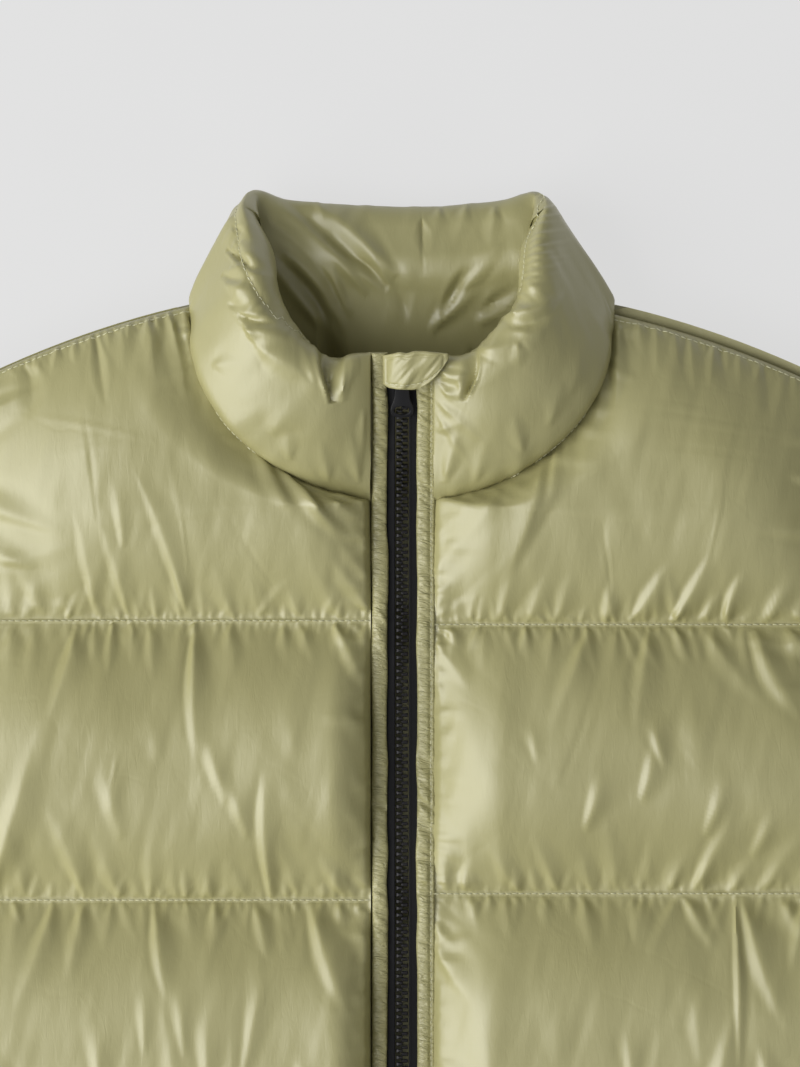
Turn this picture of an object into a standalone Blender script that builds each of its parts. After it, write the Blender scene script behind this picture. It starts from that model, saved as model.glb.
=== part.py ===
"""A quilted puffer jacket lying flat on its back: padded fronts, back, sleeves, collar, zip and zip garage.

Metres, +Z up. The wearer's left is +X and the neck points to +Y. All plan sizes are measured from the high
shoulder point, which an empty then moves so that the origin is under the middle of the jacket.
"""

import math

import bmesh
import bpy
import numpy as np
from mathutils import Matrix, Vector

# ---- driving dimensions ----
ORIGIN_Y = 0.3075  # from the origin to the level of the high shoulder points
SEAM_GAP = 0.0003  # between pieces that are sewn together
ARMHOLE_GAP = 0.0008  # the same, across the slanting armhole

NECK_HALF_WIDTH = 0.099
FRONT_NECK_DROP = 0.093
BACK_NECK_DROP = 0.018
SHOULDER_X = 0.212
SHOULDER_SLOPE = 0.22
SHOULDER_CURVE = 1.3
UNDERARM_X = 0.284
UNDERARM_Y = -0.262
ARMHOLE_POWER = 2.4
HEM_HALF_WIDTH = 0.278
QUILT_SEAMS_Y = (-0.150, -0.280, -0.4095, -0.539, -0.641)
HEM_Y = -0.665
PLACKET_HALF_WIDTH = 0.0146

CONTACT_Z = 0.030  # where the upper layer lies on the lower one
CONTACT_CUFF_Z = 0.022
LAYER_CLEARANCE = 0.00015
SEAM_THICKNESS = 0.003
SEAM_LIFT = 0.006  # how far a quilt seam stands off the other layer
FRONT_CROWN = 0.034
BACK_CROWN = 0.031
SLEEVE_CROWN = 0.025
SLEEVE_UNDER_CROWN = 0.028
SWELL_REACH = 0.045  # from a seam to where the filling is full
CHANNEL_FILL = 0.22  # how full the narrow hem and cuff channels are
HEM_LIFT_SHARE = 0.25  # the share of SEAM_LIFT that is left at the hem and the cuffs

SHOULDER_WRAP = {"left": 0.005, "right": 0.001}  # how far the back rolls over each shoulder

CUFF_WIDTH = 0.112
OVERARM_CUFF = Vector((0.588, -0.485))
SLEEVE_AXIS_DEGREES = 30.0
OVERARM_START_HANDLE = 0.26
OVERARM_END_HANDLE = 0.32
OVERARM_START_DEGREES = 27.5
OVERARM_END_DEGREES = 67.0
UNDERARM_BUNCHING = 1.45
SLEEVE_SEAMS = (0.21, 0.41, 0.61, 0.80, 0.965)

BODY_ROWS_IN_BAFFLE = (0.0, 0.10, 0.34, 0.66, 0.90)
SLEEVE_ROWS_IN_BAFFLE = (0.0, 0.13, 0.5, 0.87)
PLACKET_ROWS = (0.35, 0.75)
CHANNEL_ROWS = (0.0, 0.5)
FRONT_COLUMNS = (0.0, 0.035, 0.10, 0.20, 0.35, 0.50, 0.65, 0.80, 0.90, 0.965, 1.0)
OUTER_BACK_COLUMNS = (0.60, 0.74, 0.86, 0.93, 0.975, 1.0)
SLEEVE_COLUMNS = (0.0, 0.05, 0.17, 0.38, 0.62, 0.83, 0.95, 1.0)

# The stations round the neck seam, in degrees from a shoulder point towards the centre front or the centre back.
FRONT_NECK_ANGLES = (8.0, 20.0, 35.0, 52.0, 68.0, 81.5)
BACK_NECK_ANGLES = (3.0, 17.0, 37.0, 63.0)

# The collar's sections, one row for each station, from the wearer's right front edge round the back of the neck
# to the left front edge. Columns, in metres: seam height, top edge x, y and z, outward swell and inward swell.
COLLAR_SECTIONS = (
    (0.0382, -0.0146, -0.0235, 0.0630, 0.0030, 0.0030),
    (0.0382, -0.0290, -0.0270, 0.0660, 0.0120, 0.0090),
    (0.0382, -0.0470, -0.0210, 0.0690, 0.0160, 0.0130),
    (0.0372, -0.0610, -0.0050, 0.0700, 0.0165, 0.0145),
    (0.0350, -0.0720, 0.0140, 0.0680, 0.0140, 0.0145),
    (0.0330, -0.0775, 0.0320, 0.0560, 0.0090, 0.0130),
    (0.0320, -0.0790, 0.0440, 0.0390, 0.0050, 0.0120),
    (0.0280, -0.0710, 0.0490, 0.0240, 0.0110, 0.0100),
    (0.0275, -0.0530, 0.0485, 0.0160, 0.0160, 0.0090),
    (0.0275, -0.0270, 0.0455, 0.0125, 0.0200, 0.0090),
    (0.0275, 0.0000, 0.0440, 0.0115, 0.0200, 0.0090),
    (0.0275, 0.0260, 0.0455, 0.0125, 0.0200, 0.0090),
    (0.0275, 0.0490, 0.0485, 0.0160, 0.0160, 0.0090),
    (0.0280, 0.0640, 0.0500, 0.0240, 0.0110, 0.0100),
    (0.0320, 0.0700, 0.0440, 0.0400, 0.0060, 0.0120),
    (0.0330, 0.0680, 0.0320, 0.0570, 0.0100, 0.0130),
    (0.0350, 0.0630, 0.0140, 0.0680, 0.0150, 0.0145),
    (0.0372, 0.0540, -0.0050, 0.0700, 0.0165, 0.0140),
    (0.0382, 0.0410, -0.0190, 0.0690, 0.0160, 0.0120),
    (0.0382, 0.0270, -0.0260, 0.0660, 0.0110, 0.0080),
    (0.0382, 0.0146, -0.0235, 0.0630, 0.0030, 0.0030),
)
COLLAR_PROFILE_STEPS = 7
COLLAR_ROUNDNESS = 0.75

# The zip lies on one path down the centre front, in the plane x = 0: y and z of its tape.
ZIP_TOP = (-0.0235, 0.0625)
ZIP_NECK = (-0.0920, 0.0393)
ZIP_BODY_Z = 0.0376
ZIP_BEND_LENGTH = 0.030
COLLAR_ZIP_SHARES = (0.0, 0.25, 0.5, 0.75, 0.9)  # stations of the zip from the collar's top to the neck seam
BEND_SHARES = (0.25, 0.5, 0.75)  # stations of the bend from the collar to the flat front
FACING_INNER_X = 0.0065
FACING_OUTER_X = 0.0142
FACING_THICKNESS = 0.0025
TAPE_INNER_X = 0.0032
TAPE_OUTER_X = 0.0138
TAPE_THICKNESS = 0.0008
TEETH_HALF_WIDTH = 0.0029
TEETH_GAP = 0.00015
TEETH_THICKNESS = 0.0028
TAPE_START = 0.0010  # distance down the zip path from its top
TEETH_START = 0.0090
ZIP_HEM_INSET = 0.0005  # from the end of the tape to the hem
ZIP_BOX_LENGTH = 0.009
ZIP_BOX_THICKNESS = 0.0038

SLIDER_START = 0.0050
SLIDER_LENGTH = 0.0115
SLIDER_HALF_WIDTH = 0.0047
SLIDER_THICKNESS = 0.0070
SLIDER_CHANNEL = (0.0033, 0.0017)  # half width and half height round the teeth
SLIDER_SLOT_HALF = 0.0007
SLIDER_POST = (0.0014, 0.0028)  # half width and length of the post between the plates
CROWN_HALF_WIDTH = 0.0011
CROWN_FEET = (0.0075, 0.0136)  # distances down the zip path where each foot starts
CROWN_FOOT_LENGTH = 0.0013
CROWN_HEIGHT = 0.0034
CROWN_STRAP = 0.0009
SLIDER_ROUND = 0.0007
PAST = 0.002  # how far a cutter runs past what it cuts
SUNK = 0.0004  # how far a joined shape is sunk into its neighbour
PROUD = 0.0001  # how far the strap stands out over its feet

PULL_PIVOT = (0.01225, 0.0051)  # distance down the zip path and height over the tape
PULL_THICKNESS = 0.0010
PULL_TILT_DEGREES = 7.5
PULL_EYE = (0.0014, 0.0042)  # half width and length of the eye round the crown's foot
PULL_BAR = 0.0005  # half the bar that turns under the crown
PULL_WINDOW = (0.0154, 0.0037, 0.0021)  # distance from the pivot, and half width and half length, of the oval
# The right edge of the pull tab. Columns: half width, and position along it from the pivot.
PULL_EDGE = (
    (0.0026, 0.0005),
    (0.0031, -0.0005),
    (0.0033, -0.0060),
    (0.0038, -0.0100),
    (0.0050, -0.0135),
    (0.0053, -0.0155),
    (0.0048, -0.0174),
    (0.0032, -0.0187),
    (0.0012, -0.0190),
)

GARAGE_EDGE = (0.0005, 0.0178)  # distances down the zip path of its top and lower edges
GARAGE_THICKNESS = 0.0018
GARAGE_ROWS = (0.0, 0.3, 0.65, 1.0)
# The zip garage across the zip. Columns: x, height over the tape, and the share of its length that the round
# corner leaves.
GARAGE_SECTIONS = (
    (-0.0092, 0.0035, 1.00),
    (-0.0064, 0.0060, 1.00),
    (-0.0046, 0.0086, 1.00),
    (-0.0010, 0.0096, 1.00),
    (0.0040, 0.0098, 1.00),
    (0.0090, 0.0100, 0.93),
    (0.0130, 0.0102, 0.78),
    (0.0170, 0.0100, 0.54),
    (0.0205, 0.0092, 0.22),
)

FABRIC = ("sage_nylon", (0.47, 0.45, 0.24), 0.34, 0.0)
TAPE = ("black_tape", (0.012, 0.012, 0.014), 0.75, 0.0)
TEETH = ("black_moulding", (0.014, 0.014, 0.015), 0.38, 0.0)
METAL = ("black_enamel", (0.012, 0.012, 0.013), 0.28, 0.6)


# ---- scene ----
def clear_scene():
    for obj in list(bpy.data.objects):
        bpy.data.objects.remove(obj)


def collection(name):
    made = bpy.data.collections.new(name)
    bpy.context.scene.collection.children.link(made)
    return made


def material(finish):
    name, colour, roughness, metallic = finish
    found = bpy.data.materials.get(name)
    if found:
        return found
    made = bpy.data.materials.new(name)
    made.use_nodes = True
    shader = made.node_tree.nodes["Principled BSDF"]
    shader.inputs["Base Color"].default_value = (*colour, 1.0)
    shader.inputs["Roughness"].default_value = roughness
    shader.inputs["Metallic"].default_value = metallic
    return made


def add_object(name, mesh, finish, group, parent=None):
    mesh.materials.append(material(finish))
    obj = bpy.data.objects.new(name, mesh)
    group.objects.link(obj)
    obj.parent = parent
    return obj


# ---- lofts ----
def wall_mesh(name, upper, lower):
    """A closed wall between two grids of points of the same shape, (rows, columns, 3)."""
    rows, columns = upper.shape[:2]
    mesh = bmesh.new()
    layers = [[[mesh.verts.new(p) for p in row] for row in grid] for grid in (upper, lower)]
    for layer in layers:
        for r in range(rows - 1):
            for c in range(columns - 1):
                mesh.faces.new((layer[r][c], layer[r + 1][c], layer[r + 1][c + 1], layer[r][c + 1]))
    rim = [(0, c) for c in range(columns)] + [(r, columns - 1) for r in range(1, rows)]
    rim += [(rows - 1, c) for c in range(columns - 2, -1, -1)] + [(r, 0) for r in range(rows - 2, 0, -1)]
    for (r0, c0), (r1, c1) in zip(rim, rim[1:] + rim[:1]):
        mesh.faces.new((layers[0][r0][c0], layers[0][r1][c1], layers[1][r1][c1], layers[1][r0][c0]))
    bmesh.ops.recalc_face_normals(mesh, faces=mesh.faces)
    data = bpy.data.meshes.new(name)
    mesh.to_mesh(data)
    mesh.free()
    return data


# ---- the cut of the body ----
def shoulder_y(x):
    out = np.maximum(np.abs(x) - NECK_HALF_WIDTH, 0.0)
    return -(SHOULDER_SLOPE * out + SHOULDER_CURVE * out**2)


def armhole_x(y):
    top = shoulder_y(SHOULDER_X)
    share = np.clip((top - y) / (top - UNDERARM_Y), 0.0, 1.0)
    return SHOULDER_X + (UNDERARM_X - SHOULDER_X) * share**ARMHOLE_POWER


def side_x(y):
    """The body's edge: the armhole down to the underarm, then the side seam."""
    share = np.clip((UNDERARM_Y - y) / (UNDERARM_Y - HEM_Y), 0.0, 1.0)
    return np.where(y > UNDERARM_Y, armhole_x(y), UNDERARM_X + (HEM_HALF_WIDTH - UNDERARM_X) * share)


def neck_point(degrees, inset=0.0):
    """A point on the neck seam: 270 is the centre front, 180 and 0 the shoulders and 90 the centre back."""
    angle = math.radians(degrees)
    drop = FRONT_NECK_DROP if math.sin(angle) < 0 else -BACK_NECK_DROP
    y = (drop - math.copysign(inset, drop)) * math.sin(angle)
    return Vector(((NECK_HALF_WIDTH - inset) * math.cos(angle), y))


def front_edge(wrap):
    """A front's inner edge, from the shoulder round the neck to the placket and down to the first seam."""
    start = math.degrees(math.asin(wrap / FRONT_NECK_DROP))
    neck = [tuple(neck_point(-angle)) for angle in (start, *FRONT_NECK_ANGLES)]
    corner_y = neck[-1][1]
    reach = QUILT_SEAMS_Y[0] - corner_y
    placket = [(PLACKET_HALF_WIDTH, corner_y + reach * share) for share in PLACKET_ROWS]
    return np.array(neck + placket)


def baffle_rows(seams, fractions):
    """Row positions from 0 through each seam to the last, and the numbers of the rows that are seams."""
    positions, seam_rows = [], []
    for number, (start, end) in enumerate(zip(seams, seams[1:])):
        seam_rows.append(len(positions))
        is_channel = number == len(seams) - 2
        positions += [start + f * (end - start) for f in (CHANNEL_ROWS if is_channel else fractions)]
    seam_rows.append(len(positions))
    return positions + [seams[-1]], seam_rows


def distances(plan, seam_rows):
    """For each point of a plan grid, how far it is from the nearest seam row, and from each side."""
    down = np.linalg.norm(np.diff(plan, axis=0), axis=2)
    down = np.vstack((np.zeros((1, plan.shape[1])), np.cumsum(down, axis=0)))
    to_seam = np.min([np.abs(down - down[r]) for r in seam_rows], axis=0)
    across = np.linalg.norm(np.diff(plan, axis=1), axis=2)
    across = np.hstack((np.zeros((plan.shape[0], 1)), np.cumsum(across, axis=1)))
    return to_seam, across, across[:, -1:] - across


def rise(distance, reach=SWELL_REACH):
    """The quarter-round swell of the filling: 0 at a seam, and 1 where it is full."""
    return np.sqrt(1.0 - (1.0 - np.clip(distance / reach, 0.0, 1.0)) ** 2)


def padded_wall(name, plan, contact, seam_rows, crown, above, raised_edges, group, parent):
    """One padded layer as a closed wall: above the contact height, or below it and flat on the floor.

    The wall is thin at the seam rows and the sides. There it also stands off the other layer by SEAM_LIFT, except
    where raised_edges, for the first row and the two sides, says that this edge is sewn to the other layer.
    """
    to_seam, from_start, from_end = distances(plan, seam_rows)
    sides = (from_start, from_end)
    fill = np.ones(len(plan))
    fill[seam_rows[-2] :] = CHANNEL_FILL
    swell = rise(to_seam) * rise(from_start) * rise(from_end) * fill[:, None]
    first_raised, *sides_raised = raised_edges
    lift = 1.0 - rise(to_seam)
    for side, raised in zip(sides, sides_raised):
        if np.all(raised):
            lift = np.maximum(lift, 1.0 - rise(side))
    for side, raised in zip(sides, sides_raised):
        lift = lift * np.where(raised, 1.0, rise(side))
    if not first_raised:
        lift = lift * rise(np.linalg.norm(plan - plan[:1], axis=2))
    lift[seam_rows[-2] :] *= np.linspace(1.0, HEM_LIFT_SHARE, len(plan) - seam_rows[-2])[:, None]
    away = 1 if above else -1
    near = contact + away * (LAYER_CLEARANCE + SEAM_LIFT * lift)
    far = np.maximum(near + away * (SEAM_THICKNESS + crown * swell), 0.0)
    mesh = wall_mesh(name, np.dstack((plan, far)), np.dstack((plan, near)))
    return add_object(name, mesh, FABRIC, group, parent)


def build_front(side, group, parent):
    mirror = 1 if side == "left" else -1
    wrap = SHOULDER_WRAP[side]
    shoulder_end = float(shoulder_y(SHOULDER_X)) - wrap
    edge = front_edge(wrap)
    lengths = np.append(0, np.cumsum(np.linalg.norm(np.diff(edge, axis=0), axis=1)))
    shares = lengths / (lengths[-1] + edge[-1, 1] - QUILT_SEAMS_Y[0])
    u = np.array(FRONT_COLUMNS)
    shoulder_x = edge[0, 0] + (SHOULDER_X - edge[0, 0]) * u
    bow = shoulder_y(shoulder_x) - wrap - (edge[0, 1] + (shoulder_end - edge[0, 1]) * u)
    plan = []
    for inner, share in zip(edge, shares):
        edge_y = shoulder_end + (QUILT_SEAMS_Y[0] - shoulder_end) * share
        outer = np.array((armhole_x(edge_y), edge_y))
        row = inner + (outer - inner) * u[:, None]
        row[:, 1] += bow * (1 - share) ** 2
        plan.append(row)
    seams = (*QUILT_SEAMS_Y, HEM_Y)
    rows, seam_rows = baffle_rows(seams, BODY_ROWS_IN_BAFFLE)
    for y in rows:
        outer_x = float(side_x(np.array(y)))
        x = PLACKET_HALF_WIDTH + (outer_x - PLACKET_HALF_WIDTH) * u
        plan.append(np.column_stack((x, np.full(len(x), y))))
    plan = np.array(plan)
    seam_rows = [0] + [r + len(edge) for r in seam_rows]
    armhole = plan[:, -1:, 1] > UNDERARM_Y
    plan[..., 0] *= mirror
    raised = (False, True, armhole)
    padded_wall(f"front_{side}", plan, CONTACT_Z, seam_rows, FRONT_CROWN, True, raised, group, parent)


def build_back(group, parent):
    neck_x = [neck_point(angle).x for angle in BACK_NECK_ANGLES[::-1]]
    half = [x / SHOULDER_X for x in neck_x] + list(OUTER_BACK_COLUMNS)
    columns = np.array([-u for u in half[::-1]] + [0.0] + half)
    seams = (*QUILT_SEAMS_Y, HEM_Y)
    rows, seam_rows = baffle_rows(seams, BODY_ROWS_IN_BAFFLE)
    top_x = columns * SHOULDER_X
    ratio = np.clip(np.abs(top_x) / NECK_HALF_WIDTH, 0.0, 1.0)
    top_y = shoulder_y(top_x) - BACK_NECK_DROP * np.sqrt(1.0 - ratio**2)
    plan = []
    for share in BODY_ROWS_IN_BAFFLE:
        edge_y = top_y[-1] + (QUILT_SEAMS_Y[0] - top_y[-1]) * share
        x = top_x * armhole_x(edge_y) / SHOULDER_X
        plan.append(np.column_stack((x, top_y + (QUILT_SEAMS_Y[0] - top_y) * share)))
    for y in rows:
        plan.append(np.column_stack((columns * float(side_x(np.array(y))), np.full(len(columns), y))))
    plan = np.array(plan)
    seam_rows = [0] + [r + len(BODY_ROWS_IN_BAFFLE) for r in seam_rows]
    armhole = plan[:, -1:, 1] > UNDERARM_Y
    raised = (False, armhole, armhole)
    padded_wall("back", plan, CONTACT_Z, seam_rows, BACK_CROWN, False, raised, group, parent)


# ---- sleeves ----
def bezier(points, t):
    a, b, c, d = (np.array(tuple(p)) for p in points)
    t = np.asarray(t)[..., None]
    return (1 - t) ** 3 * a + 3 * (1 - t) ** 2 * t * b + 3 * (1 - t) * t**2 * c + t**3 * d


def even_along(curve, shares):
    """Points on a dense curve at shares of its length."""
    lengths = np.append(0, np.cumsum(np.linalg.norm(np.diff(curve, axis=0), axis=1)))
    return np.column_stack([np.interp(shares * lengths[-1], lengths, curve[:, k]) for k in range(2)])


def sleeve_plan(rows):
    """The sleeve lying flat: rows from the armhole to the cuff, columns from the overarm to the underarm."""
    start, end = math.radians(OVERARM_START_DEGREES), math.radians(OVERARM_END_DEGREES)
    shoulder = Vector((SHOULDER_X, float(shoulder_y(SHOULDER_X))))
    handles = (
        shoulder,
        shoulder + OVERARM_START_HANDLE * Vector((math.cos(start), -math.sin(start))),
        OVERARM_CUFF - OVERARM_END_HANDLE * Vector((math.cos(end), -math.sin(end))),
        OVERARM_CUFF,
    )
    across = math.radians(SLEEVE_AXIS_DEGREES)
    underarm_cuff = OVERARM_CUFF - CUFF_WIDTH * Vector((math.cos(across), math.sin(across)))
    v = np.array(rows)
    over = even_along(bezier(handles, np.linspace(0, 1, 200)), v)
    underarm = np.array((UNDERARM_X, UNDERARM_Y))
    under = underarm + (np.array(tuple(underarm_cuff)) - underarm) * (v**UNDERARM_BUNCHING)[:, None]
    u = np.array(SLEEVE_COLUMNS)
    armhole_y = float(shoulder_y(SHOULDER_X)) + (UNDERARM_Y - float(shoulder_y(SHOULDER_X))) * u
    armhole = np.column_stack((armhole_x(armhole_y), armhole_y))
    cuff = over[-1] + (under[-1] - over[-1]) * u[:, None]
    ruled_v = (1 - v)[:, None, None] * armhole + v[:, None, None] * cuff
    ruled_u = over[:, None] * (1 - u)[None, :, None] + under[:, None] * u[None, :, None]
    corners = (1 - v)[:, None, None] * (over[0] + (under[0] - over[0]) * u[:, None])
    corners = corners + v[:, None, None] * cuff
    plan = ruled_v + ruled_u - corners
    plan[..., 0] += ARMHOLE_GAP * (1 - v)[:, None]
    return plan


def build_sleeve(side, group, parent):
    mirror = 1 if side == "left" else -1
    rows, seam_rows = baffle_rows((0.0, *SLEEVE_SEAMS, 1.0), SLEEVE_ROWS_IN_BAFFLE)
    plan = sleeve_plan(rows)
    contact = CONTACT_Z + (CONTACT_CUFF_Z - CONTACT_Z) * np.array(rows)[:, None]
    plan[..., 0] *= mirror
    for layer, crown, above in (("top", SLEEVE_CROWN, True), ("under", SLEEVE_UNDER_CROWN, False)):
        name = f"sleeve_{side}_{layer}"
        padded_wall(name, plan, contact, seam_rows, crown, above, (True, False, False), group, parent)


# ---- collar ----
def keep_in_neck(grid, base):
    """Moves a collar grid's points inside the neck seam, and clear of the floor and the facings."""
    count = len(FRONT_NECK_ANGLES)
    front = [*range(count), *range(len(base) - count, len(base))]
    for row, points in enumerate(grid):
        seam = base[front] if row in front else base[count:-count]
        seam = seam[np.argsort(seam[:, 0])]
        points[:, 0] = np.clip(points[:, 0], seam[:, 0].min(), seam[:, 0].max())
        points[:, 1] = np.maximum(points[:, 1], np.interp(points[:, 0], seam[:, 0], seam[:, 1]))
    for row in (0, -1):
        grid[row, :, 0] = base[row, 0]
    grid[..., 2] = np.maximum(grid[..., 2], 0.0)


def build_collar(group, parent):
    right = [180 + a for a in FRONT_NECK_ANGLES[::-1]] + [180 - a for a in BACK_NECK_ANGLES]
    angles = right + [90] + [180 - a for a in right[::-1]]
    table = np.array(COLLAR_SECTIONS)
    base = np.array([(*neck_point(a, SEAM_GAP), height) for a, height in zip(angles, table[:, 0])])
    top = table[:, 1:4]
    up = top - base
    along = np.gradient((base + top) / 2, axis=0)
    outward = np.cross(up, along)
    outward /= np.linalg.norm(outward, axis=1)[:, None]
    v = np.linspace(0, 1, COLLAR_PROFILE_STEPS)
    round_off = np.sin(np.pi * v) ** COLLAR_ROUNDNESS
    line = base[:, None] + up[:, None] * v[None, :, None]
    faces = []
    for side, swell in ((1, table[:, 4]), (-1, table[:, 5])):
        reach = SEAM_THICKNESS / 2 + swell[:, None] * round_off
        faces.append(line + side * outward[:, None] * reach[..., None])
        keep_in_neck(faces[-1], base)
    add_object("collar", wall_mesh("collar", *faces), FABRIC, group, parent)


# ---- zip ----
def zip_path():
    """Points (y, z) down the zip from the collar's top edge to the hem, with their distances and normals."""
    top, neck = Vector(ZIP_TOP), Vector(ZIP_NECK)
    bend_end = Vector((ZIP_NECK[0] - ZIP_BEND_LENGTH, ZIP_BODY_Z))
    points = [top.lerp(neck, t) for t in COLLAR_ZIP_SHARES]
    bend_start = points[-1]
    for t in BEND_SHARES:
        points.append((1 - t) ** 2 * bend_start + 2 * (1 - t) * t * neck + t * t * bend_end)
    points += [bend_end] + [Vector((y, ZIP_BODY_Z)) for y in (*QUILT_SEAMS_Y[1::2], HEM_Y)]
    line = np.array([tuple(p) for p in points])
    tangent = np.gradient(line, axis=0)
    tangent /= np.linalg.norm(tangent, axis=1)[:, None]
    normal = np.column_stack((tangent[:, 1], -tangent[:, 0]))
    distance = np.append(0, np.cumsum(np.linalg.norm(np.diff(line, axis=0), axis=1)))
    return line, distance, normal


def zip_point(distance, height, x=0.0):
    """A point at a distance down the zip path, at a height over the tape."""
    line, along, normal = zip_path()
    at = np.array([np.interp(distance, along, line[:, k]) for k in range(2)])
    away = np.array([np.interp(distance, along, normal[:, k]) for k in range(2)])
    away /= np.linalg.norm(away)
    y, z = at + away * height
    return Vector((x, y, z))


def strip(name, x_range, heights, finish, group, parent, start, end):
    """A flat strip of the zip's path, from one distance to another."""
    _, along, _ = zip_path()
    stations = [start] + [d for d in along if start < d < end] + [end]
    grids = [np.array([[tuple(zip_point(d, h, x)) for x in x_range] for d in stations]) for h in heights]
    return add_object(name, wall_mesh(name, grids[1], grids[0]), finish, group, parent)


def build_zip(group, parent):
    _, along, _ = zip_path()
    length = along[-1]
    box_start = length - ZIP_BOX_LENGTH
    tape_end = length - ZIP_HEM_INSET
    half_tape, half_teeth = TAPE_THICKNESS / 2, TEETH_THICKNESS / 2
    facing_low = half_tape + SEAM_GAP
    facing_heights = (facing_low, facing_low + FACING_THICKNESS)
    tape_heights = (-half_tape, half_tape)
    teeth_heights = (-half_teeth, half_teeth)
    for side, mirror in (("right", -1), ("left", 1)):
        facing_x = (mirror * FACING_INNER_X, mirror * FACING_OUTER_X)
        strip(f"facing_{side}", facing_x, facing_heights, FABRIC, group, parent, 0.0, length)
        tape_x = (mirror * TAPE_INNER_X, mirror * TAPE_OUTER_X)
        strip(f"zip_tape_{side}", tape_x, tape_heights, TAPE, group, parent, TAPE_START, tape_end)
        teeth_x = (mirror * TEETH_GAP, mirror * TEETH_HALF_WIDTH)
        teeth_end = box_start - SEAM_GAP
        strip(f"zip_teeth_{side}", teeth_x, teeth_heights, TEETH, group, parent, TEETH_START, teeth_end)
    box_x = (-TEETH_HALF_WIDTH, TEETH_HALF_WIDTH)
    half_box = ZIP_BOX_THICKNESS / 2
    strip("zip_box", box_x, (-half_box, half_box), TEETH, group, parent, box_start, tape_end)


def zip_frame(distance, height):
    """A matrix whose X is across the zip, Y up towards the collar and Z away from the tape."""
    origin = zip_point(distance, height)
    up = (zip_point(distance, height + 0.001) - origin).normalized()
    across = Vector((1, 0, 0))
    along = up.cross(across)
    return Matrix.Translation(origin) @ Matrix((across, along, up)).transposed().to_4x4()


def box_mesh(name, low, high):
    mesh = bmesh.new()
    bmesh.ops.create_cube(mesh, size=1.0)
    low, high = Vector(low), Vector(high)
    size = high - low
    for vertex in mesh.verts:
        vertex.co = Vector(low[k] + (vertex.co[k] + 0.5) * size[k] for k in range(3))
    data = bpy.data.meshes.new(name)
    mesh.to_mesh(data)
    mesh.free()
    return data


def helper_box(name, low, high, cutters, parent, frame):
    obj = bpy.data.objects.new(name, box_mesh(name, low, high))
    cutters.objects.link(obj)
    obj.parent = parent
    obj.matrix_local = frame
    obj.hide_render = True
    obj.display_type = "WIRE"
    return obj


def boolean(obj, other, operation):
    modifier = obj.modifiers.new(other.name, "BOOLEAN")
    modifier.operation = operation
    modifier.object = other


def build_slider(group, cutters, parent):
    """The slider: two plates with a channel for the teeth, a post between them and a crown for the pull."""
    frame = zip_frame(SLIDER_START, 0.0)
    half_x, half_z, length = SLIDER_HALF_WIDTH, SLIDER_THICKNESS / 2, SLIDER_LENGTH
    mesh = box_mesh("zip_slider", (-half_x, -length, -half_z), (half_x, 0, half_z))
    slider = add_object("zip_slider", mesh, METAL, group, parent)
    slider.matrix_local = frame
    bevel = slider.modifiers.new("rounded", "BEVEL")
    bevel.width = SLIDER_ROUND
    bevel.segments = 2
    channel_x, channel_z = SLIDER_CHANNEL
    slot_z = SLIDER_SLOT_HALF
    post_x, post_length = SLIDER_POST
    crown_x, crown_top = CROWN_HALF_WIDTH, half_z + CROWN_HEIGHT
    feet = [SLIDER_START - start for start in CROWN_FEET]
    crown_end = feet[1] - CROWN_FOOT_LENGTH
    cut_end = -length - PAST
    post_z = channel_z + SUNK
    shapes = [
        ("slider_channel", (-channel_x, cut_end, -channel_z), (channel_x, PAST, channel_z), "DIFFERENCE"),
        ("slider_slot", (-half_x - PAST, cut_end, -slot_z), (half_x + PAST, PAST, slot_z), "DIFFERENCE"),
        ("slider_post", (-post_x, -post_length, -post_z), (post_x, -SUNK, post_z), "UNION"),
    ]
    for number, y in enumerate(feet):
        low, high = (-crown_x, y - CROWN_FOOT_LENGTH, half_z - SUNK), (crown_x, y, crown_top)
        shapes.append((f"crown_foot_{number}", low, high, "UNION"))
    low = (-crown_x - PROUD, crown_end - PROUD, crown_top - CROWN_STRAP)
    shapes.append(("crown_strap", low, (crown_x + PROUD, feet[0] + PROUD, crown_top + PROUD), "UNION"))
    for name, low, high, operation in shapes:
        boolean(slider, helper_box(name, low, high, cutters, parent, frame), operation)


def outline(points, curve):
    spline = curve.splines.new("POLY")
    spline.points.add(len(points) - 1)
    for point, (x, y) in zip(spline.points, points):
        point.co = (x, y, 0.0, 1.0)
    spline.use_cyclic_u = True


def build_pull(group, parent):
    """The pull tab: a flat plate with an eye round the crown's foot and an oval window in its wide end."""
    curve = bpy.data.curves.new("zip_pull", "CURVE")
    curve.dimensions = "2D"
    curve.fill_mode = "BOTH"
    curve.extrude = PULL_THICKNESS / 2
    outline([(-x, y) for x, y in reversed(PULL_EDGE)] + list(PULL_EDGE), curve)
    eye_x, eye_length = PULL_EYE
    outline([(-eye_x, -PULL_BAR), (eye_x, -PULL_BAR), (eye_x, -eye_length), (-eye_x, -eye_length)], curve)
    window_y, window_x, window_half = PULL_WINDOW
    turns = [math.radians(a) for a in range(0, 360, 30)]
    outline([(window_x * math.cos(a), window_half * math.sin(a) - window_y) for a in turns], curve)
    pull = bpy.data.objects.new("zip_pull", curve)
    curve.materials.append(material(METAL))
    group.objects.link(pull)
    pull.parent = parent
    tilt = Matrix.Rotation(math.radians(PULL_TILT_DEGREES), 4, "X")
    pull.matrix_local = zip_frame(*PULL_PIVOT) @ tilt


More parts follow.
